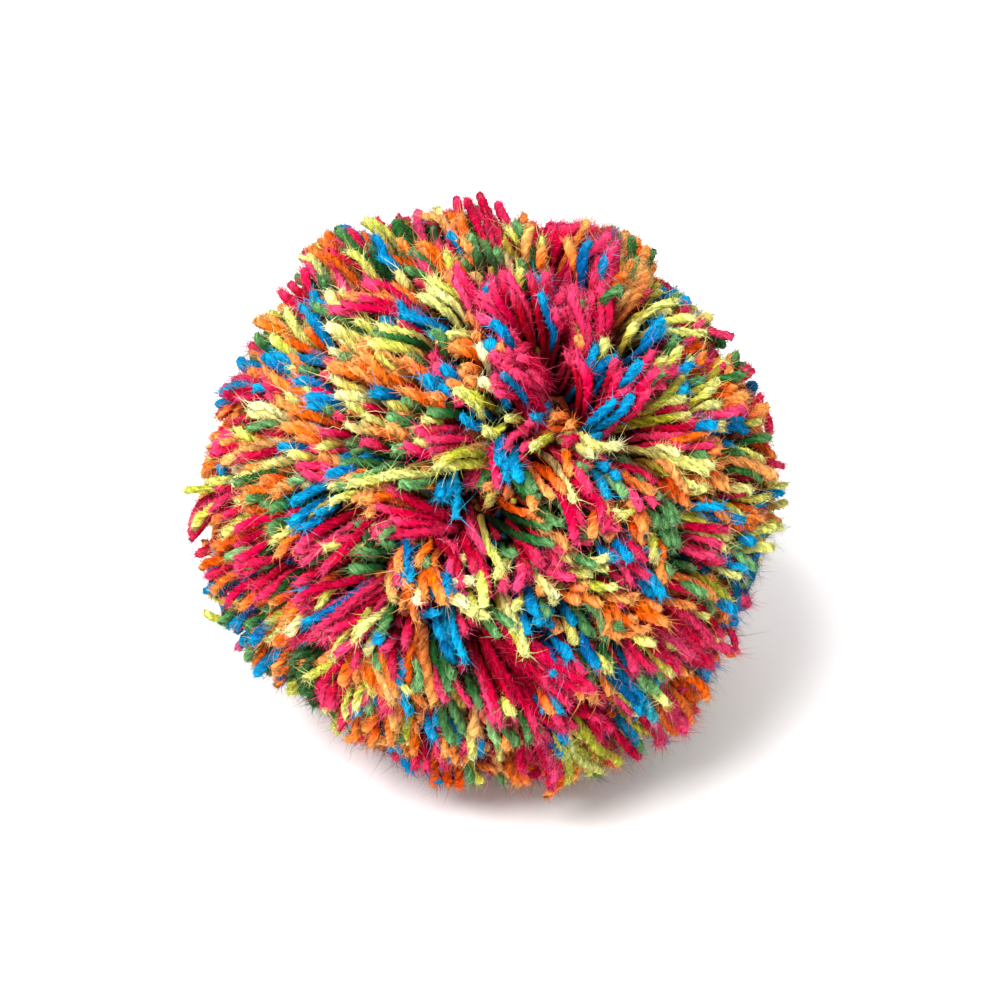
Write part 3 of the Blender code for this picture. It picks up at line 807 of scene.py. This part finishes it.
def pack(form, strands, under):
    """Pushes strands that would run through each other apart, and keeps them in the outer form.

    Gives back the detailed strands' paths and the under pile's, which stays below the surface.
    """
    axes, radii = gap_axes(form)
    paths = np.concatenate([strands, under])
    count, stations, _ = paths.shape
    owners = np.repeat(np.arange(count), stations)
    ease = np.linspace(PACKING_ROOT_STEP, 1.0, stations)[None, :, None]
    proud = TIPS_PROUD + np.minimum(np.abs(rng.normal(size=(count, 1))), TIPS_STRAY_MOST) * TIPS_STRAY
    proud[len(strands):] = -UNDER_DEPTH[0]
    for _ in range(PACKING_ROUNDS):
        points = paths.reshape(-1, 3)
        first, second = close_pairs(points, owners, PACKING_GAP)
        apart = points[first] - points[second]
        distance = np.maximum(np.linalg.norm(apart, axis=1, keepdims=True), 1e-9)
        push = apart / distance * (PACKING_GAP - distance) * PACKING_STEP
        moved = np.zeros_like(points)
        np.add.at(moved, first, push)
        np.add.at(moved, second, -push)
        moved += push_from_gaps(points, axes, radii)
        moved = moved.reshape(paths.shape) * ease
        moved[:, 1:-1] = (moved[:, :-2] + 2 * moved[:, 1:-1] + moved[:, 2:]) / 4
        paths = paths + moved
        middles = (paths[:, :-2] + paths[:, 2:]) / 2
        paths[:, 1:-1] = (1 - STRAIGHTENING) * paths[:, 1:-1] + STRAIGHTENING * middles
        paths = form.keep_in(paths, proud)
        paths[..., 2] = np.maximum(paths[..., 2], STRAND_HALF_WIDE + FLOOR_CLEARANCE)
    return paths[: len(strands)], paths[len(strands):]


# Meshes.

def hand_over(piece):
    """Attaches a piece to the ball's body, so that it moves with the ball, and hides the CAD solid that it is
    shown for.
    """
    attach(piece, "root")
    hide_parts("pom_pom")


def set_dye(mesh, colours):
    """Stores the linear colour of each of a mesh's points, where the materials read it. It holds the dye with
    its painted shade and light.
    """
    colours = np.concatenate([colours, np.ones((len(colours), 1))], axis=1)
    mesh.color_attributes.new("dye", "FLOAT_COLOR", "POINT").data.foreach_set("color", colours.ravel())


class Shapes:
    """Collects many small shapes for one mesh: points, their dye, and faces with two UV maps."""

    def __init__(self):
        self.points = []
        self.colours = []
        self.faces = []
        self.bake_uvs = []
        self.fibre_uvs = []
        self.normals = []
        self.count = 0

    def add(self, points, colours, faces, bake_uvs, fibre_uvs, normals=None):
        """faces is a list of index arrays of one width each, and the UV lists match it corner by corner."""
        if normals is not None:
            self.normals.append(normals)
        self.faces += [block + self.count for block in faces]
        self.bake_uvs += bake_uvs
        self.fibre_uvs += fibre_uvs
        self.points.append(points)
        self.colours.append(colours)
        self.count += len(points)

    def make(self, name, material):
        mesh = bpy.data.meshes.new(name)
        points = np.concatenate(self.points)
        corners = np.concatenate([block.ravel() for block in self.faces])
        widths = np.concatenate([np.full(len(block), block.shape[1]) for block in self.faces])
        starts = np.concatenate([[0], np.cumsum(widths)[:-1]])
        mesh.vertices.add(len(points))
        mesh.vertices.foreach_set("co", points.ravel())
        mesh.loops.add(len(corners))
        mesh.loops.foreach_set("vertex_index", corners)
        mesh.polygons.add(len(widths))
        mesh.polygons.foreach_set("loop_start", starts)
        mesh.update(calc_edges=True)
        for layer, parts in (("OFBake", self.bake_uvs), ("fibre", self.fibre_uvs)):
            uvs = np.concatenate([part.reshape(-1, 2) for part in parts])
            mesh.uv_layers.new(name=layer).data.foreach_set("uv", uvs.ravel())
        set_dye(mesh, np.concatenate(self.colours))
        mesh.shade_smooth()
        if self.normals:
            mesh.normals_split_custom_set_from_vertices(np.concatenate(self.normals))
        mesh.materials.append(material)
        piece = bpy.data.objects.new(name, mesh)
        bpy.context.scene.collection.objects.link(piece)
        hand_over(piece)


def smooth_curve(controls):
    """Points along a smooth curve through the control points, and the length up to each."""
    lead = 2 * controls[:1] - controls[1:2]
    trail = 2 * controls[-1:] - controls[-2:-1]
    padded = np.concatenate([lead, controls, trail])
    spans = len(controls) - 1
    place = np.linspace(0.0, spans, CURVE_POINTS)
    span = np.minimum(place.astype(int), spans - 1)
    share = (place - span)[:, None]
    before, start, end, after = (padded[span + step] for step in range(4))
    points = 0.5 * (
        2 * start
        + (end - before) * share
        + (2 * before - 5 * start + 4 * end - after) * share**2
        + (3 * start - before - 3 * end + after) * share**3
    )
    return points, lengths_along(points)


def ring_frames(points):
    """Two directions across a path at each of its points. They don't turn about it."""
    tangents = unit(np.gradient(points, axis=0))
    chord = points[-1] - points[0]
    across = np.cross(chord, points[0] - CENTRE)
    if np.linalg.norm(across) < 1e-3 * np.linalg.norm(chord) * np.linalg.norm(points[0] - CENTRE):
        across = np.cross(chord, [0.37, 0.61, 0.70])  # the path heads straight out: any side will do
    first = unit(across - tangents * (tangents @ across)[:, None])
    return first, np.cross(tangents, first)


def cell_corner(number, total):
    """The corner and size of one strand's cell in a UV square that holds them all."""
    columns = math.ceil(math.sqrt(total * UV_TALL))
    rows = math.ceil(total / columns)
    row, column = divmod(number, columns)
    return np.array([column / columns, row / rows]), np.array([1.0 / columns, 1.0 / rows])


def tube_faces(rings, sides):
    """The side faces of a tube, its end cap's faces, and where each side corner lies around and along it."""
    ring, side = (index.ravel() for index in np.indices((rings - 1, sides)))
    following = (side + 1) % sides
    upper = (ring + 1) * sides
    quads = np.stack([ring * sides + side, ring * sides + following, upper + following, upper + side], axis=1)
    around = np.stack([side, side + 1, side + 1, side], axis=1) / sides
    along = np.stack([ring, ring, ring + 1, ring + 1], axis=1)
    edge = np.arange(sides)
    last = (rings - 1) * sides
    cap = np.stack([last + edge, last + (edge + 1) % sides, np.full(sides, rings * sides)], axis=1)
    return quads, around, along, cap


def add_tube(shapes, centres, ring_points, end_bulge, colours, number, total):
    """Adds one tube from its rings of points, with its own cell in the UV square.

    It is closed at its cut end, and open at its root inside the ball's middle.
    """
    rings, sides, _ = ring_points.shape
    shift = np.array([0.0, rng.uniform(0.0, FIBRE_SHIFT)])
    quads, around, along, cap = tube_faces(rings, sides)
    points = np.concatenate([ring_points.reshape(-1, 3), centres[-1:] + end_bulge])
    all_colours = np.concatenate([np.repeat(colours, sides, axis=0), colours[-1:]])
    lengths = lengths_along(centres)
    corner, size = cell_corner(number, total)
    inner = size * (1 - 2 * UV_INSET)
    origin = corner + size * UV_INSET

    def bake(across, up):
        return np.stack([origin[0] + across * inner[0], origin[1] + up * inner[1]], axis=-1)

    edge = np.arange(sides)
    cap_across = np.stack([edge, edge + 1, edge + 0.5], axis=1) / sides
    cap_down = np.tile([UV_CAP, UV_CAP, 0.0], (sides, 1))
    bake_uvs = [bake(around, UV_BODY * lengths[along] / lengths[-1]), bake(cap_across, 1.0 - cap_down)]
    fibre_uvs = [
        np.stack([around * FIBRE_GIRTH, lengths[along] / MM], axis=-1) + shift,
        np.stack([cap_across * FIBRE_GIRTH, lengths[-1] / MM - cap_down], axis=-1) + shift,
    ]
    shapes.add(points, all_colours, [quads, cap], bake_uvs, fibre_uvs)


def painted_deep_shade(form, points, colours):
    """Colours at points with painted shade: darker the deeper they lie in the pile."""
    light = 1.0 - DEEP_SHADE * smoothstep(DEEP_SHADE_FROM, DEEP_SHADE_TO, form.depth(points))
    return colours * light[..., None] ** np.array(DEEP_SHADE_POWERS)


def dye_tone(name):
    """One strand's tone of a dye, as linear light: usually near the mean, sometimes pale or deep."""
    dye = DYES[name]
    lean = np.clip(rng.normal(0.0, TONE_SPREAD), -1.0, 1.0)
    towards = linear(dye.pale if lean > 0 else dye.deep)
    return linear(dye.colour) * (1 - abs(lean)) + towards * abs(lean)


def strand_colours(form, centres, dye, end_dye, lengths):
    """The dye along a strand, from its root to its cut end, as linear light, with painted shade and a pale
    cut end that is partly painted light.
    """
    start = dye_tone(dye)
    finish = start if end_dye == dye else dye_tone(end_dye)
    change_at = lengths[-1] * rng.uniform(*DYE_CHANGE_AT)
    share = np.clip((lengths - change_at) / DYE_CHANGE_LENGTH + 0.5, 0.0, 1.0)[:, None]
    colours = start * (1 - share) + finish * share
    mottle = 1.0 + MOTTLE * np.sin(lengths / MOTTLE_LENGTH + rng.uniform(0.0, 6.0))[:, None]
    to_end = (lengths[-1] - lengths)[:, None]
    # The cut end turns pale: partly wear, partly painted light.
    pale_end_wear_and_light = END_PALENESS * np.clip(1.0 - to_end / END_PALE_LENGTH, 0.0, 1.0)
    # Painted shade: the strand darkens away from its cut end.
    colours = colours * mottle * (1.0 - ROOT_SHADE * smoothstep(ROOT_SHADE_FROM, ROOT_SHADE_TO, to_end))
    colours = colours + (linear(DYES[end_dye].pale) - colours) * pale_end_wear_and_light
    return np.clip(painted_deep_shade(form, centres, colours), 0.0, 1.0)


def strand_rings(controls, pitch):
    """The centres of a strand's rings, and how much of the two-ply form each one has.

    The first ring lies at the ball's middle, and a plain part leads from there to the twisted one.
    """
    inner = CENTRE + unit(controls[0] - CENTRE) * STRAND_START
    curve, lengths = smooth_curve(controls)
    count = max(FEWEST_RINGS, round((lengths[-1] - PLAIN_LENGTH) / (pitch / STRAND_SIDES)) + 1)
    stations = np.concatenate([[0.0], np.linspace(PLAIN_LENGTH, lengths[-1], count)])
    fine = np.stack([np.interp(stations, lengths, curve[:, axis]) for axis in range(3)], axis=1)
    ply_form = np.concatenate([[0.0, 0.0], np.clip(np.arange(count) / PLY_RINGS, 0.0, 1.0)])
    return np.concatenate([inner[None], fine]), ply_form


def profile(ply_form, girth, softness):
    """Points round a strand at each ring: from a plain circle to two plies side by side."""
    half_wide = STRAND_HALF_WIDE * (1.0 - PLY_SOFTENING * softness)
    half_deep = STRAND_HALF_DEEP * (1.0 + PLY_SOFTENING * softness)
    ply_x = np.array([half_wide, PLY_SHOULDER, -PLY_SHOULDER, -half_wide, -PLY_SHOULDER, PLY_SHOULDER])
    ply_y = np.array([0.0, half_deep, half_deep, 0.0, -half_deep, -half_deep])
    angles = np.arange(STRAND_SIDES) * math.tau / STRAND_SIDES
    ply_form = ply_form[:, None]
    across = ply_form * ply_x + (1 - ply_form) * PLAIN_WIDTH / 2 * np.cos(angles)
    up = ply_form * ply_y + (1 - ply_form) * PLAIN_WIDTH / 2 * np.sin(angles)
    return across * girth[:, None], up * girth[:, None]


class Rings(NamedTuple):
    """The rings of a strand that show, which the loose fibres grow from."""

    centres: np.ndarray
    along: np.ndarray
    colours: np.ndarray
    depth: np.ndarray
    softness: np.ndarray


def add_strand(shapes, form, controls, dye, end_dye, number, total):
    """Adds one two-ply strand, and gives back its rings that show."""
    yarn = DYES[dye]
    pitch = TWIST_PITCH * rng.uniform(*PITCH_RANGE) * (1.0 + SOFT_PITCH * yarn.softness)
    centres, ply_form = strand_rings(controls, pitch)
    rings = len(centres)
    first, second = ring_frames(centres)
    lengths = lengths_along(centres)
    flare = 1.0 + END_FLARE * np.clip(1.0 - (lengths[-1] - lengths) / END_FLARE_LENGTH, 0.0, 1.0)
    flare[-1] *= END_GIRTH
    sway = 1.0 + GIRTH_SWAY * np.sin(lengths / GIRTH_SWAY_LENGTH + rng.uniform(0.0, 6.0))
    sway += rng.normal(size=rings) * GIRTH_STRAY
    girth = yarn.girth * rng.uniform(*GIRTH_RANGE) * flare * sway
    across, up = profile(ply_form, girth, yarn.softness)
    turn = rng.uniform(0.0, math.tau) + np.arange(rings) * math.tau / STRAND_SIDES
    cosine = np.cos(turn)[:, None]
    sine = np.sin(turn)[:, None]
    rough = 1.0 + rng.normal(size=across.shape) * OUTLINE_STRAY * ply_form[:, None]
    x = (across * cosine - up * sine) * rough
    y = (across * sine + up * cosine) * rough
    ring_points = centres[:, None] + first[:, None] * x[..., None] + second[:, None] * y[..., None]
    tangent = unit(centres[-1] - centres[-2])
    ring_points[-1] += tangent * rng.normal(size=(STRAND_SIDES, 1)) * END_RAGGED
    colours = strand_colours(form, centres, dye, end_dye, lengths)
    add_tube(shapes, centres, ring_points, tangent * END_BULGE, colours, number, total)
    along = unit(np.gradient(centres, axis=0))
    shown = Rings(centres, along, colours, form.depth(centres), np.full(rings, yarn.softness))
    return Rings(*(values[FIRST_SHOWN_RING:] for values in shown))


# Loose fibres.

class Fibres(NamedTuple):
    """Loose fibres, an entry for each: where it starts, its way, its length, its bend and its colour."""

    starts: np.ndarray
    ways: np.ndarray
    lengths: np.ndarray
    bends: np.ndarray
    colours: np.ndarray


def make_fibres(name, material, fibres, radius, levels, curl=0.0):
    """Makes one piece of fine fibres. Each is a narrow ribbon of a few levels that ends in a point.

    They face out of the pile, and take the light like the pile that they stand on.
    """
    starts, ways, lengths, bends, colours = fibres
    count = len(starts)
    shares = np.linspace(0.0, 1.0, levels + 1)[None, :, None]
    reach = shares * lengths[:, None, None]
    centres = starts[:, None] + ways[:, None] * reach + shares**2 * bends[:, None]
    if curl:
        phases = rng.uniform(0.0, math.tau, (count, 1, 1))
        turns = reach / STRAY_CURL_PITCH * math.tau + phases
        first = any_side(ways)
        second = np.cross(ways, first)
        centres = centres + first[:, None] * (np.cos(turns) - np.cos(phases)) * curl
        centres = centres + second[:, None] * (np.sin(turns) - np.sin(phases)) * curl
    centres[..., 2] = np.maximum(centres[..., 2], FLOOR_CLEARANCE + radius)
    out = unit(starts - CENTRE)
    sideways = unit(np.cross(ways, out + rng.normal(size=out.shape) * FIBRE_TURN))
    half_widths = sideways[:, None] * radius * (1.0 - FIBRE_TAPER * shares[:, :levels])
    edges = np.stack([centres[:, :levels] - half_widths, centres[:, :levels] + half_widths], axis=2)
    points = np.concatenate([edges.reshape(count, levels * 2, 3), centres[:, levels:]], axis=1)
    size = levels * 2 + 1
    quads = np.array([[low, low + 1, low + 3, low + 2] for low in range(0, levels * 2 - 2, 2)], dtype=int)
    tips = np.array([[size - 3, size - 2, size - 1]])
    across = np.array([0.0, 1.0] * levels + [0.5])
    along = np.append(np.repeat(np.arange(levels) / levels, 2), 1.0)
    corner_uv = UV_FIBRE_INSET + (1.0 - 2.0 * UV_FIBRE_INSET) * np.stack([across, along], axis=1)
    columns = math.ceil(math.sqrt(count))
    cell = np.stack([np.arange(count) % columns, np.arange(count) // columns], axis=1) / columns
    bases = np.arange(count)[:, None, None] * size
    blocks = []
    uvs = []
    for faces in (quads.reshape(-1, 4), tips):
        blocks.append((bases + faces).reshape(-1, faces.shape[1]))
        uvs.append((cell[:, None, None] + corner_uv[faces][None] / columns).reshape(-1, faces.shape[1], 2))
    normals = unit(out + FIBRE_LIT_ALONG * unit(ways) + np.array([0.0, 0.0, FIBRE_LIT_ABOVE]))
    shapes = Shapes()
    shapes.add(points.reshape(-1, 3), np.repeat(colours, size, axis=0), blocks, uvs,
               [uv * FIBRE_STRETCH for uv in uvs], np.repeat(normals, size, axis=0))
    shapes.make(name, material)


def all_rings(grown):
    return Rings(*(np.concatenate(values) for values in zip(*grown)))


def end_rings(grown):
    return Rings(*(np.array([values[-1] for values in strands]) for strands in zip(*grown)))


def by_softness(rings, weights):
    return weights[0] + weights[1] * rings.softness


def pick_rings(rings, weights, count):
    """Rings for fibres to grow from, picked at random by weight and put in order."""
    picked = np.sort(rng.choice(len(weights), count, p=weights / weights.sum()))
    return Rings(*(values[picked] for values in rings))


def uneven(colours, light):
    """The colours, each made lighter or darker within a range."""
    return colours * rng.uniform(*light, (len(colours), 1))


def paler(colours, least, most):
    """The colours mixed with white, partly as painted highlight: a little in most of them, and much in a few.
    """
    share = least + (most - least) * rng.random((len(colours), 1)) ** 3
    return np.clip(colours + (1.0 - colours) * share, 0.0, 1.0)


def make_nap(grown, material, name, count, length_range, levels):
    """Short fibres that lie along the strands and lift off them, in two pieces."""
    rings = all_rings(grown)
    weights = by_softness(rings, NAP_WEIGHTS) * np.clip(1.0 - rings.depth / NAP_DEPTH, 0.0, 1.0)
    rings = pick_rings(rings, weights, count)
    side = any_side(rings.along)
    facing = np.sum(side * unit(rings.centres - CENTRE), axis=1, keepdims=True)
    side = np.where(facing < NAP_INWARD, -side, side)
    lifts = rng.uniform(*NAP_LIFT, (count, 1))
    forward = np.where(rng.random((count, 1)) < NAP_FORWARD, 1.0, -1.0)
    ways = unit(rings.along * forward + side * lifts + any_side(rings.along) * NAP_TURN)
    lengths = rng.uniform(*length_range, count)
    bends = rng.normal(size=(count, 3)) * lengths[:, None] * NAP_BEND
    # Lighter and whiter than their strands: partly painted highlight.
    colours = paler(uneven(rings.colours, NAP_LIGHT), *NAP_WHITE)
    fibres = Fibres(rings.centres + side * NAP_START, ways, lengths, bends, colours)
    for half in range(2):
        part = Fibres(*(values[half::2] for values in fibres))
        make_fibres(f"{name}_{half + 1}", material, part, NAP_RADIUS, levels)


def make_brushes(grown, material):
    """Fibres that splay out of the strands' cut ends."""
    ends = end_rings(grown)
    ends = pick_rings(ends, by_softness(ends, BRUSH_WEIGHTS), BRUSH_FIBRES)
    side = any_side(ends.along)
    off = np.sqrt(rng.random((BRUSH_FIBRES, 1))) * BRUSH_OFF
    starts = ends.centres + side * off - ends.along * rng.uniform(0.0, BRUSH_BACK, (BRUSH_FIBRES, 1))
    splay = side * off / MM * rng.uniform(0.0, BRUSH_SPLAY, (BRUSH_FIBRES, 1))
    ways = unit(ends.along + splay + any_side(ends.along) * BRUSH_TURN)
    lengths = rng.uniform(*BRUSH_LENGTH, BRUSH_FIBRES)
    bends = rng.normal(size=(BRUSH_FIBRES, 3)) * BRUSH_BEND
    # Lighter and whiter than their strands: partly painted highlight.
    colours = paler(uneven(ends.colours, BRUSH_LIGHT), *BRUSH_WHITE)
    fibres = Fibres(starts, ways, lengths, bends, colours)
    make_fibres("cut_ends", material, fibres, BRUSH_RADIUS, BRUSH_LEVELS)


def make_strays(grown, material):
    """Long fine fibres that stand off the ball and curl."""
    rings = all_rings(grown)
    rings = pick_rings(rings, np.clip(1.0 - rings.depth / STRAY_DEPTH, 0.0, 1.0), STRAY_FIBRES)
    out = unit(rings.centres - CENTRE)
    turn = rng.normal(size=(STRAY_FIBRES, 3)) * STRAY_TURN
    ways = unit(STRAY_OUTWARD * out + STRAY_ALONG * rings.along + turn)
    lengths = rng.uniform(*STRAY_LENGTH, STRAY_FIBRES)
    bends = rng.normal(size=(STRAY_FIBRES, 3)) * lengths[:, None] * STRAY_BEND
    # Whiter than their strands: partly painted highlight.
    fibres = Fibres(rings.centres, ways, lengths, bends, paler(rings.colours, *STRAY_WHITE))
    make_fibres("stray_fibres", material, fibres, STRAY_RADIUS, STRAY_LEVELS, STRAY_CURL)


# Materials.

def feed(material, node, inputs):
    """Sets a node's inputs. Each is a value, or the output of another node."""
    for name, value in inputs.items():
        if isinstance(value, bpy.types.NodeSocket):
            material.node_tree.links.new(value, node.inputs[name])
        else:
            node.inputs[name].default_value = value


def add_node(material, kind, inputs, **settings):
    node = material.node_tree.nodes.new(kind)
    for name, value in settings.items():
        setattr(node, name, value)
    feed(material, node, inputs)
    return node


def remapped(material, value, start, end, to_start, to_end):
    """A value between start and end, spread from to_start to to_end."""
    node = add_node(material, "ShaderNodeMapRange", {
        "Value": value, "From Min": start, "From Max": end, "To Min": to_start, "To Max": to_end})
    return node.outputs["Result"]


def scaled(material, colour, factor):
    node = add_node(material, "ShaderNodeVectorMath", {0: colour, "Scale": factor}, operation="SCALE")
    return node.outputs["Vector"]


def bumped(material, height, distance, normal=None):
    inputs = {"Strength": 1.0, "Distance": distance, "Height": height}
    if normal is not None:
        inputs["Normal"] = normal
    return add_node(material, "ShaderNodeBump", inputs).outputs["Normal"]


def new_material(name, inputs):
    """A material with its shader's inputs set, and the shader."""
    material = bpy.data.materials.new(name)
    material.use_nodes = True
    shader = material.node_tree.nodes["Principled BSDF"]
    feed(material, shader, inputs)
    return material, shader


def mesh_inputs(material):
    """The dye, with the shade and light painted into it, and the place in the fibre map that the mesh
    carries.
    """
    dye = add_node(material, "ShaderNodeAttribute", {}, attribute_name="dye")
    place = add_node(material, "ShaderNodeUVMap", {}, uv_map="fibre")
    return dye.outputs["Color"], place.outputs["UV"]


def yarn_material(name, groove_depth_and_shade, bump_height):
    """Dyed yarn: the colour that the mesh carries, with painted shade between the plies and a little painted
    light on them, streaked by its fibres.
    """
    material, shader = new_material(name, {
        "Roughness": 0.9, "Specular IOR Level": 0.04, "Sheen Weight": 0.35, "Sheen Roughness": 0.4})
    dye, place = mesh_inputs(material)
    stretched = add_node(material, "ShaderNodeMapping", {"Scale": (2.0, 0.46, 1.0), "Vector": place})
    wool = add_node(material, "ShaderNodeTexNoise", {
        "Scale": 1.5, "Detail": 4.0, "Roughness": 0.7, "Distortion": 0.4,
        "Vector": stretched.outputs["Vector"]}).outputs["Fac"]

    # Fine curly fibres on the surface: the lines along which a noise passes through its mean. They are made
    # lighter, partly as the fibres' own paleness and partly as painted highlight.
    curls = add_node(material, "ShaderNodeTexNoise", {
        "Scale": 1.35, "Detail": 1.5, "Roughness": 0.6, "Distortion": 0.8, "Vector": place})
    off_line = add_node(material, "ShaderNodeMath", {0: curls.outputs["Fac"], 1: 0.5}, operation="SUBTRACT")
    from_line = add_node(material, "ShaderNodeMath", {0: off_line.outputs["Value"]}, operation="ABSOLUTE")

    # Two plies round the strand. A wave of scale 1 turns by 20 radians along each unit of its place.
    plies = add_node(material, "ShaderNodeTexWave", {
        "Scale": math.tau / (20.0 * FIBRE_GIRTH / 2), "Phase Offset": math.pi, "Distortion": 1.3,
        "Detail": 2.0, "Detail Scale": 4.0, "Vector": place}, wave_type="BANDS", bands_direction="X")
    groove = plies.outputs["Fac"]

    colour = scaled(material, dye, remapped(material, wool, 0.36, 0.66, 0.34, 1.48))
    # Painted shade in the grooves between the plies, and a little painted light on the plies.
    colour = scaled(material, colour, remapped(material, groove, 0.0, 0.8, 1.0 - groove_depth_and_shade, 1.08))
    # Lighter along the curly lines: partly painted highlight.
    colour = scaled(material, colour, remapped(material, from_line.outputs["Value"], 0.0, 0.05, 1.5, 1.0))
    bump = bumped(material, groove, 0.10 * MM * (1 + groove_depth_and_shade))
    bump = bumped(material, wool, bump_height, bump)
    feed(material, shader, {"Base Color": colour, "Sheen Tint": dye, "Normal": bump})
    return material


def fibre_material():
    """Single fibres: the colour that the mesh carries, dye with painted shade and light, slightly uneven
    along each.
    """
    material, shader = new_material("loose_fibre", {"Roughness": 0.8, "Specular IOR Level": 0.04})
    dye, place = mesh_inputs(material)
    noise = add_node(material, "ShaderNodeTexNoise", {"Scale": 3.0, "Detail": 1.0, "Vector": place})
    light = remapped(material, noise.outputs["Fac"], 0.3, 0.7, 0.85, 1.15)
    feed(material, shader, {"Base Color": scaled(material, dye, light)})
    return material


# The pieces.

def make_strands(form, paths, dyes, twisted, soft):
    """Makes the detailed strands, in pieces of one dye each, and gives back the rings that show."""
    grown = []
    for name, yarn in DYES.items():
        members = [index for index, (dye, _) in enumerate(dyes) if dye == name]
        pieces = max(1, math.ceil(len(members) / STRANDS_PER_PIECE))
        for piece in range(pieces):
            share = members[piece::pieces]
            shapes = Shapes()
            for number, index in enumerate(share):
                grown.append(add_strand(shapes, form, paths[index], *dyes[index], number, len(share)))
            shapes.make(f"strands_{name}_{piece + 1}", soft if yarn.softness > SOFT_FROM else twisted)
    return grown


def make_under_pile(form, paths, material):
    """Makes the plain strands below the detailed ones, in one piece."""
    shapes = Shapes()
    pick_dye = dye_picker()
    angles = np.arange(UNDER_SIDES)[None, :, None] * math.tau / UNDER_SIDES
    rows = np.round(np.linspace(0, CONTROL_POINTS - 1, UNDER_RINGS)).astype(int)
    for number, path in enumerate(paths):
        controls = path[rows]
        first, second = ring_frames(controls)
        girth = UNDER_RADIUS * rng.uniform(*UNDER_GIRTH_RANGE) * np.ones((len(controls), 1, 1))
        girth[-1] *= UNDER_END_GIRTH
        ring = first[:, None] * np.cos(angles) + second[:, None] * np.sin(angles)
        # The under pile's dye is darkened: painted shade.
        dye = dye_tone(pick_dye(unit(controls[-1] - CENTRE))) * UNDER_LIGHT
        colours = np.clip(painted_deep_shade(form, controls, np.tile(dye, (len(controls), 1))), 0.0, 1.0)
        bulge = unit(controls[-1] - controls[-2]) * UNDER_END_BULGE
        add_tube(shapes, controls, controls[:, None] + ring * girth, bulge, colours, number, len(paths))
    shapes.make("under_pile", material)


def make_middle(material):
    """The close-packed middle of the ball, ridged by the yarn that crosses there and coloured dark red as
    painted shade.
    """
    bpy.ops.mesh.primitive_ico_sphere_add(subdivisions=5, radius=1.0, location=(0.0, 0.0, 0.0))
    piece = bpy.context.object
    piece.name = "wound_middle"
    mesh = piece.data
    ways = np.empty(len(mesh.vertices) * 3)
    mesh.vertices.foreach_get("co", ways)
    ways = unit(ways.reshape(-1, 3))
    ridges = np.zeros(len(ways))
    for _ in range(MIDDLE_BANDS):
        strands = ways @ unit(rng.normal(size=3)) * MIDDLE_RADIUS / STRAND_WIDTH
        waves = np.abs(np.sin(strands * math.pi)) ** 0.5
        band = np.exp(-((ways @ unit(rng.normal(size=3))) ** 2) * 6.0)
        ridges = np.maximum(ridges, waves * band)
    points = CENTRE + ways * (MIDDLE_RADIUS + ridges[:, None] * MIDDLE_RIDGE)
    mesh.vertices.foreach_set("co", points.ravel())
    mesh.update()
    # Painted shade: one dark red all over the middle.
    set_dye(mesh, np.tile(linear(MIDDLE_SHADE_COLOUR), (len(ways), 1)))
    mesh.uv_layers[0].name = "fibre"
    mesh.shade_smooth()
    mesh.materials.append(material)
    hand_over(piece)


def make_pom_pom():
    form = OuterForm(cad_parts["pom_pom"])
    placed = placed_bundles(form)
    paths = []
    dyes = []
    for bundle in placed + fill_bundles(form, placed):
        for path in strand_paths(form, bundle):
            end_dye = bundle.end_dye
            if rng.random() < DYE_CHANGE_SHARE:
                end_dye = DYE_NAMES[rng.integers(len(DYE_NAMES))]
            paths.append(path)
            dyes.append((bundle.dye, end_dye))
    strands, under = pack(form, np.array(paths), under_paths(form))
    twisted = yarn_material("twisted_yarn", 0.34, 0.08 * MM)
    soft = yarn_material("soft_yarn", 0.20, 0.10 * MM)
    fibre = fibre_material()
    grown = make_strands(form, strands, dyes, twisted, soft)
    make_under_pile(form, under, soft)
    make_middle(soft)
    make_nap(grown, fibre, "curled_nap", CURLED_FIBRES, CURLED_LENGTH, CURLED_LEVELS)
    make_nap(grown, fibre, "straight_nap", STRAIGHT_FIBRES, STRAIGHT_LENGTH, STRAIGHT_LEVELS)
    make_brushes(grown, fibre)
    make_strays(grown, fibre)


# The stage.

def make_floor():
    bpy.ops.mesh.primitive_plane_add(size=FLOOR_SIZE, location=(0.0, 0.0, -FLOOR_DROP))
    floor = bpy.context.object
    floor.name = "floor"
    material, _ = new_material("floor", {"Base Color": (*FLOOR_COLOUR, 1.0), "Roughness": 0.9})
    floor.data.materials.append(material)


def make_sun():
    """A broad soft light, the same all over the floor."""
    data = bpy.data.lights.new("soft_light", "SUN")
    data.energy = SUN_STRENGTH
    data.angle = SUN_WIDTH
    light = bpy.data.objects.new("soft_light", data)
    light.rotation_euler = (-Vector(SUN_FROM)).to_track_quat("-Z", "Y").to_euler()
    bpy.context.scene.collection.objects.link(light)


def make_world():
    world = bpy.data.worlds.new("studio")
    world.use_nodes = True
    background = world.node_tree.nodes["Background"]
    background.inputs["Color"].default_value = (1.0, 1.0, 1.0, 1.0)
    background.inputs["Strength"].default_value = WORLD_STRENGTH
    bpy.context.scene.world = world


def make_stage():
    make_floor()
    make_world()
    make_sun()
    bpy.context.scene.view_settings.view_transform = "Standard"


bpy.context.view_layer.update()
make_camera()
make_stage()
make_pom_pom()
